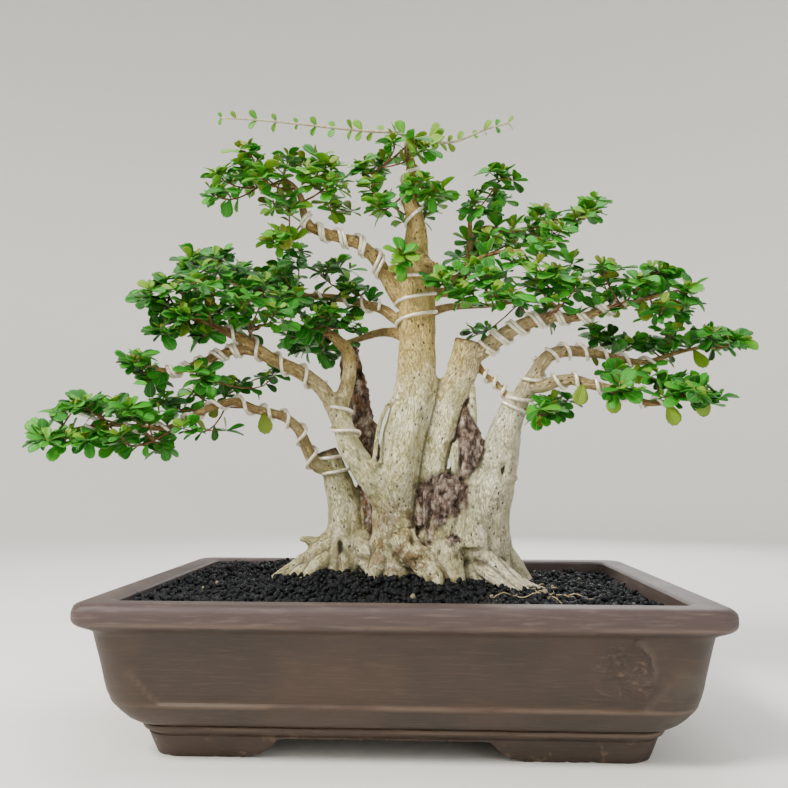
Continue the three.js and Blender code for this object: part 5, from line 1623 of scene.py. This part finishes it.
def pot_mesh(settings):
    """The pot's section swept round its outline, with the gaps under it and its drain holes cut"""
    rings = pot_rings()
    outlines = [rounded_outline(min(inset, POT_DEPTH / 2 - corner - 0.01), corner, 8, 130, 84)
                for _, inset, corner in rings]
    count = len(outlines[0])
    last = len(rings) - 1
    bm = bmesh.new()
    grid = bmesh.ops.create_grid(bm, x_segments=count, y_segments=last, size=0.5)["verts"]
    outer = {index for index, (height, inset, _) in enumerate(rings)
             if inset < 62 and height < 134 and index < last - 12}
    wobble = settings.wobble / MM
    for v in grid:
        row = round((v.co.y + 0.5) * last)
        around = round((v.co.x + 0.5) * count) % count
        x, y = outlines[row][around]
        z, inset, _ = rings[row]
        if inset > 250:
            x, y = 0.0, 0.0
        if row in outer:
            before = np.array(outlines[row][around - 1])
            after = np.array(outlines[row][(around + 1) % count])
            way = unit(after - before)
            out = worked_wall(x, y, z, wobble)
            x += way[1] * out
            y -= way[0] * out
        v.co = placed(x, y, z)
    bmesh.ops.remove_doubles(bm, verts=bm.verts, dist=2e-5)
    bmesh.ops.dissolve_degenerate(bm, edges=bm.edges, dist=1e-6)
    body = mesh_from(bm, "pot_body")
    shift = Matrix.Translation((POT_MIDDLE, 0, 0))
    cutters = [
        cutter_object(foot_gap(FOOT_GAP_TOP, FOOT_GAP_BOTTOM, POT_DEPTH + 20),
                      Matrix.Translation((FOOT_GAP_SHIFT * MM, 0, 0)) @ shift @ Matrix.Scale(MM, 4)),
        cutter_object(foot_gap(SIDE_GAP_TOP, SIDE_GAP_BOTTOM, POT_LENGTH + 20),
                      shift @ Matrix.Rotation(math.pi / 2, 4, "Z") @ Matrix.Scale(MM, 4)),
    ]
    for side in (-1, 1):
        drain = bmesh.new()
        bmesh.ops.create_cone(drain, cap_ends=True, segments=32, radius1=DRAIN_RADIUS,
                              radius2=DRAIN_RADIUS, depth=60)
        middle = Matrix.Translation(placed(side * DRAIN_SPACING / 2, 0, FLOOR_TOP - 10))
        cutters.append(cutter_object(drain, middle @ Matrix.Scale(MM, 4)))
    cuts = [("BOOLEAN", {"operation": "DIFFERENCE", "object": cutter, "solver": "EXACT"})
            for cutter in cutters]
    mesh = modified(body, *cuts)
    for cutter in cutters:
        bpy.data.objects.remove(cutter)
    chip_feet(mesh)
    keep_attribute(mesh, "border", "FLOAT", panel_border(mesh))
    mesh.shade_smooth()
    mesh.set_sharp_from_angle(angle=math.radians(38))
    return mesh


def chip_feet(mesh):
    """Wears the edges of the feet and of the arches between them"""
    points = in_millimetres(mesh)
    for i, (x, y, z) in enumerate(points):
        if z > 19 or z < -0.5 or abs(y) < 120 and abs(x) < 190:
            continue
        rough = noise.noise(Vector((x, y, 5)) * 0.11) + 0.5 * noise.noise(Vector((x, y, 9)) * 0.31)
        bite = max(0.0, rough - 0.12)
        if z > 15 and abs(y) > 138:
            points[i] += np.array([0, -math.copysign(1.0, y) * bite * 1.8, bite * 1.6])
        elif z < 1.5 and (abs(y) > 138 or abs(x) > 212):
            points[i] += np.array([0, -math.copysign(1.0, y) * bite * 1.2, bite * 1.5])
    move_points(mesh, points)


def panel_border(mesh):
    """1 on the edges of the sunk panels, which the clay lightens as rubbed clay and painted highlight"""
    points = in_millimetres(mesh)
    border = np.zeros(len(points))
    for i, (x, y, z) in enumerate(points):
        outside = max(abs(x) / POT_LENGTH, abs(y) / POT_DEPTH) > 0.42
        if outside and WALL_LOW - 6 < z < WALL_HIGH + 6:
            share = on_panel(x, y, z)
            low = min(1.0, max(0.0, (WALL_LOW + 34 - z) / 12))
            border[i] = 4 * share * (1 - share) * low * (1 if x < BORDER_FULL_TO else 0.2)
    return border


def clay_material(settings):
    """Brushed dark clay with a rubbed lip, edges lightened as wear and painted highlight, and the scuffed
    patch with painted shadow and highlight on its curl
    """
    maker = Maker("clay", Specular_IOR_Level=0.5)
    place = maker.place()
    height = maker.axis(place, "Z")
    right = maker.axis(place, "X")
    streak = maker.noise(maker.stretch(place, 1.0, 1.0, 16.0), 34.0, 7.0, 0.66)
    fine = maker.noise(maker.stretch(place, 1.0, 1.0, 4.0), 420.0, 4.0, 0.6)
    cloud = maker.noise(place, 9.0, 4.0)
    clay = tuple(settings.clay)
    colour = maker.mix(maker.between(cloud, 0.4, 0.6) * 0.8, clay, linear("261a10"))
    colour = maker.mix(maker.between(streak, 0.48, 0.7) * 0.22, colour, linear("5a4230"))
    colour = maker.mix(maker.between(streak, 0.48, 0.3) * 0.2, colour, linear("2b201a"))
    rim = maker.between(height, 0.115, 0.12)
    colour = maker.mix(rim * 0.8, colour, tuple(settings.lip))
    colour = maker.mix(rim * maker.between(streak, 0.5, 0.68) * 0.35, colour, linear("6f5f58"))
    # Lighter bands on the ridge, the bead and the lip's top edge: painted highlights, broken up by noise as
    # wear
    wear_and_highlight = maker.between(cloud + fine * 0.25, 0.5, 0.7)
    for low, middle, high in ((0.0485, 0.0515, 0.0545), (0.0235, 0.026, 0.0295), (0.118, 0.12, 0.124)):
        band = maker.between(height, low, middle) * maker.between(height, high, middle)
        colour = maker.mix(band * wear_and_highlight * 0.3, colour, linear("806855"))
    # The edges of the sunk panels, lightened as rubbed clay and painted highlight
    border = maker.attribute("border")
    colour = maker.mix(border * maker.between(cloud, 0.3, 0.6) * 0.3, colour, linear("6d5848"))
    in_front = maker.between(maker.axis(place, "Y"), -0.15, -0.16)
    scuff_start = maker.between(right, POT_MIDDLE + 0.15, POT_MIDDLE + 0.178)
    scuff_x = scuff_start * maker.between(right, POT_MIDDLE + 0.21, POT_MIDDLE + 0.198)
    scuff_z = maker.between(height, 0.056, 0.072) * maker.between(height, 0.112, 0.1)
    scuff = scuff_x * scuff_z * in_front * maker.between(maker.noise(place, 45.0, 4.0), 0.4, 0.56)
    pits = maker.noise(maker.stretch(place, 1.0, 1.0, 1.8), 150.0, 5.0, 0.7)
    colour = maker.mix(scuff * maker.between(pits, 0.5, 0.64) * 0.45, colour, linear("6b5846"))
    colour = maker.mix(scuff * maker.between(pits, 0.46, 0.36) * 0.2, colour, linear("241a14"))
    beside = right - (POT_MIDDLE + DENT_X * MM)
    above = height - DENT_Z * MM
    uneven = (maker.noise(place, 85.0, 5.0, 0.65) - 0.5) * 0.0006
    reach = beside * beside + above * above * 0.83 + uneven
    curled = maker.between(beside, 0.004, 0.013) * maker.between(above, -0.014, 0.0) * in_front
    fold = maker.between(reach, 0.0155 ** 2, 0.0185 ** 2) * maker.between(reach, 0.0215 ** 2, 0.019 ** 2)
    fold = fold * curled
    crest_highlight = maker.between(reach, 0.0195 ** 2, 0.022 ** 2) * maker.between(reach, 0.028 ** 2, 0.0235 ** 2)
    # Painted shadow inside the scuff's curled ridge
    colour = maker.mix(fold * maker.between(pits, 0.35, 0.5) * 0.75, colour, linear("1a110c"))
    # Painted highlight on the crest of the curled ridge
    colour = maker.mix(crest_highlight * curled * 0.14, colour, linear("7d6a56"))
    stain = maker.between(right, 0.2, 0.285) * maker.between(maker.noise(place, 32.0, 4.0), 0.48, 0.62)
    colour = maker.mix(stain * 0.2, colour, linear("565c4e"))
    bite = maker.between(maker.noise(place, 75.0, 4.0), 0.6, 0.68) * maker.between(height, 0.03, 0.012)
    colour = maker.mix(bite * 0.4, colour, linear("6f5a49"))
    roughness = 0.4 + cloud * 0.2 + fine * 0.12
    relief = streak * 0.5 + fine * 0.2 + pits * scuff * 4.5 - fold * 1.5
    return maker.done(Base_Color=colour, Roughness=roughness, Normal=maker.bump(relief, 0.5, 0.0012))


def screen_material():
    maker = Maker("screen", Specular_IOR_Level=0.4)
    grime = maker.noise(maker.place(), 200.0, 3.0)
    colour = maker.mix(maker.between(grime, 0.4, 0.7), linear("1d2023"), linear("3a3631"))
    return maker.done(Base_Color=colour, Roughness=grime * 0.3 + 0.45)


# The operators


class BONSAI_OT_pot(bpy.types.Operator):
    """Make the clay pot with its sunk panels, ridge, feet and wear"""
    bl_idname = "bonsai.pot"
    bl_label = "Make the pot"

    def execute(self, context):
        settings = context.scene.bonsai_pot
        new_piece("clay_pot", pot_mesh(settings), [clay_material(settings)], ["pot"])
        return {"FINISHED"}


class BONSAI_OT_screens(bpy.types.Operator):
    """Finish the mesh screens over the drain holes"""
    bl_idname = "bonsai.screens"
    bl_label = "Finish the drain screens"

    def execute(self, context):
        material = screen_material()
        for side in ("left", "right"):
            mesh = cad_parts[f"drain_screen_{side}"].data
            mesh.materials.clear()
            mesh.materials.append(material)
        return {"FINISHED"}


class BONSAI_OT_soil(bpy.types.Operator):
    """Fill the pot with black grit and its hair roots"""
    bl_idname = "bonsai.soil"
    bl_label = "Fill in the soil"

    def execute(self, context):
        settings = context.scene.bonsai_soil
        material = grit_material(settings)
        new_piece("soil_bed", soil_bed_mesh(), [material], ["soil"])
        grit = repeated("soil_grit", grain_templates(), grit_placings(settings), smooth=False)
        new_piece("soil_grit", grit, [material])
        new_piece("hair_roots", hair_roots_mesh(), [root_material()])
        return {"FINISHED"}


def root_material():
    maker = Maker("hair_root", Roughness=0.8)
    mottle = maker.noise(maker.place(), 300.0, 3.0)
    return maker.done(Base_Color=maker.ramp(mottle, [(0.3, linear("8f7a55")), (0.7, linear("cdbb92"))]))


class BONSAI_OT_wood(bpy.types.Operator):
    """Join the trunks, roots and branches and give them their bark"""
    bl_idname = "bonsai.wood"
    bl_label = "Grow the wood"

    def execute(self, context):
        settings = context.scene.bonsai_wood
        new_piece("trunks_and_branches", wood_mesh(settings), [bark_material(settings)],
                  ["tree_wood"])
        return {"FINISHED"}


class BONSAI_OT_wires(bpy.types.Operator):
    """Wind the training wires round the branches"""
    bl_idname = "bonsai.wires"
    bl_label = "Wind the wires"

    def execute(self, context):
        material = wire_material()
        for wire in WIRES:
            new_piece(f"wound_{wire[0]}", wire_mesh(wire[0]), [material], [wire[0]])
        return {"FINISHED"}


class BONSAI_OT_leaves(bpy.types.Operator):
    """Grow the leafy sprays on every limb and the two long shoots"""
    bl_idname = "bonsai.leaves"
    bl_label = "Grow the leaves"

    def execute(self, context):
        settings = context.scene.bonsai_leaf
        thick = settings.thickness / MM
        templates = [leaf_template(f"leaf_{i}", *form, thick) for i, form in enumerate(LEAF_FORMS)]
        leaf = leaf_material()
        twig = twig_material("twig", "4a2e1f", "7c5136", "a58058")
        shoot = twig_material("shoot", "8f8268", "b8ab90", "d6ccb4")
        for limb_name, (spray, nodes) in grow_sprays(settings.young).items():
            leaves = repeated(f"leaves_{limb_name}", templates, spray.leaves)
            new_piece(f"leaves_{limb_name}", leaves, [leaf], nodes)
            new_piece(f"twigs_{limb_name}", mesh_from(spray.twigs, "twigs"), [twig])
        for number, (name, (pairs, points)) in enumerate(WHIPS.items()):
            limb = Limb(points)
            bm = bmesh.new()
            add_tube(bm, limb.rings(48, lambda share: 2.1 - 1.1 * share), 8)
            new_piece(f"stem_{name}", mesh_from(bm, name), [shoot], [name])
            placings = shoot_leaves(limb, pairs, 300 + number)
            new_piece(f"leaves_{name}", repeated(name, templates, placings), [leaf])
        return {"FINISHED"}


class BONSAI_OT_stage(bpy.types.Operator):
    """Set the plain floor, the soft lights and the camera"""
    bl_idname = "bonsai.stage"
    bl_label = "Set the stage"

    def execute(self, context):
        settings = context.scene.bonsai_stage
        add_floor(settings)
        add_lights(context)
        add_camera(context, settings)
        return {"FINISHED"}


def add_floor(settings):
    """A round floor that turns up softly into a wall on all sides"""
    flat = 2.6
    bend = 1.2
    bm = bmesh.new()
    profile = [(0.0, 0.0), (flat / 2, 0.0), (flat, 0.0)]
    for angle in np.linspace(0.1, math.pi / 2, 12):
        profile.append((flat + bend * math.sin(angle), bend - bend * math.cos(angle)))
    profile.append((flat + bend, 4.0))
    verts = [bm.verts.new((r, 0, z)) for r, z in profile]
    edges = [bm.edges.new(pair) for pair in zip(verts, verts[1:])]
    bmesh.ops.spin(bm, geom=verts + edges, cent=(0, 0, 0), axis=(0, 0, 1), dvec=(0, 0, 0),
                   angle=2 * math.pi, steps=72, use_merge=True, use_duplicate=False)
    bmesh.ops.remove_doubles(bm, verts=bm.verts, dist=1e-5)
    mesh = bpy.data.meshes.new("floor")
    bmesh.ops.recalc_face_normals(bm, faces=bm.faces)
    bmesh.ops.reverse_faces(bm, faces=bm.faces)
    bm.to_mesh(mesh)
    bm.free()
    mesh.shade_smooth()
    floor = bpy.data.objects.new("floor", mesh)
    bpy.context.scene.collection.objects.link(floor)
    maker = Maker("floor", Roughness=0.85, Specular_IOR_Level=0.2)
    maker.shader.inputs["Base Color"].default_value = (*settings.floor, 1)
    mesh.materials.append(maker.done())


def add_lights(context):
    lights = [
        ("key", (-1.6, -1.4, 2.1), 0.8, 128.0, (1.0, 0.97, 0.91)),
        ("fill", (1.6, -1.7, 1.1), 1.8, 15.0, (0.95, 0.97, 1.0)),
        ("top", (0.0, 0.2, 2.6), 1.6, 38.0, (1.0, 1.0, 1.0)),
        ("rear", (0.6, 1.9, 1.3), 1.3, 20.0, (1.0, 1.0, 1.0)),
    ]
    aim = Vector((0, 0, 0.34))
    for name, place, size, power, colour in lights:
        data = bpy.data.lights.new(name, "AREA")
        data.size = size
        data.energy = power
        data.color = colour
        lamp = bpy.data.objects.new(name, data)
        lamp.location = place
        lamp.rotation_mode = "QUATERNION"
        lamp.rotation_quaternion = (aim - Vector(place)).to_track_quat("-Z", "Y")
        context.scene.collection.objects.link(lamp)
    world = bpy.data.worlds.new("soft_room")
    world.use_nodes = True
    world.node_tree.nodes["Background"].inputs["Color"].default_value = (0.9, 0.93, 1.0, 1)
    world.node_tree.nodes["Background"].inputs["Strength"].default_value = 0.35
    context.scene.world = world


def add_camera(context, settings):
    """The photograph's viewpoint: just above the soil, looking a little up and to the left"""
    yaw = math.radians(-2.17)
    pitch = math.radians(6.27)
    roll = math.radians(0.19)
    ahead = Vector((math.sin(yaw) * math.cos(pitch), math.cos(yaw) * math.cos(pitch), math.sin(pitch)))
    right = Vector((math.cos(yaw), -math.sin(yaw), 0))
    up = right.cross(ahead)
    turned_right = right * math.cos(roll) + up * math.sin(roll)
    turned_up = up * math.cos(roll) - right * math.sin(roll)
    data = bpy.data.cameras.new("camera")
    data.sensor_width = 36
    data.lens = settings.lens
    data.clip_start = 0.05
    camera = bpy.data.objects.new("camera", data)
    matrix = Matrix.Identity(4)
    for column, direction in enumerate((turned_right, turned_up, -ahead)):
        for row in range(3):
            matrix[row][column] = direction[row]
    matrix.translation = placed(20, -841, 240)
    camera.matrix_world = matrix
    context.scene.collection.objects.link(camera)
    context.scene.camera = camera


class BONSAI_PT_panel(bpy.types.Panel):
    """Lists the steps that dress the bonsai"""
    bl_label = "Bonsai"
    bl_idname = "BONSAI_PT_panel"
    bl_space_type = "VIEW_3D"
    bl_region_type = "UI"
    bl_category = "Bonsai"

    def draw(self, context):
        for operator in OPERATORS:
            self.layout.operator(operator.bl_idname)
        for name in SETTINGS:
            group = getattr(context.scene, name)
            for key in group.bl_rna.properties.keys():
                if key not in ("rna_type", "name"):
                    self.layout.prop(group, key)


OPERATORS = [BONSAI_OT_stage, BONSAI_OT_pot, BONSAI_OT_screens, BONSAI_OT_soil, BONSAI_OT_wood,
             BONSAI_OT_wires, BONSAI_OT_leaves]
SETTINGS = {"bonsai_pot": PotSettings, "bonsai_soil": SoilSettings, "bonsai_wood": WoodSettings,
            "bonsai_leaf": LeafSettings, "bonsai_stage": StageSettings}


def register():
    for group in SETTINGS.values():
        bpy.utils.register_class(group)
    for operator in OPERATORS:
        bpy.utils.register_class(operator)
    bpy.utils.register_class(BONSAI_PT_panel)
    for name, group in SETTINGS.items():
        setattr(bpy.types.Scene, name, PointerProperty(type=group))


def unregister():
    for name in SETTINGS:
        delattr(bpy.types.Scene, name)
    bpy.utils.unregister_class(BONSAI_PT_panel)
    for operator in reversed(OPERATORS):
        bpy.utils.unregister_class(operator)
    for group in reversed(list(SETTINGS.values())):
        bpy.utils.unregister_class(group)


def main():
    register()
    bpy.ops.bonsai.stage()
    bpy.ops.bonsai.pot()
    bpy.ops.bonsai.screens()
    bpy.ops.bonsai.soil()
    bpy.ops.bonsai.wood()
    bpy.ops.bonsai.wires()
    bpy.ops.bonsai.leaves()


if __name__ == "__main__":
    main()
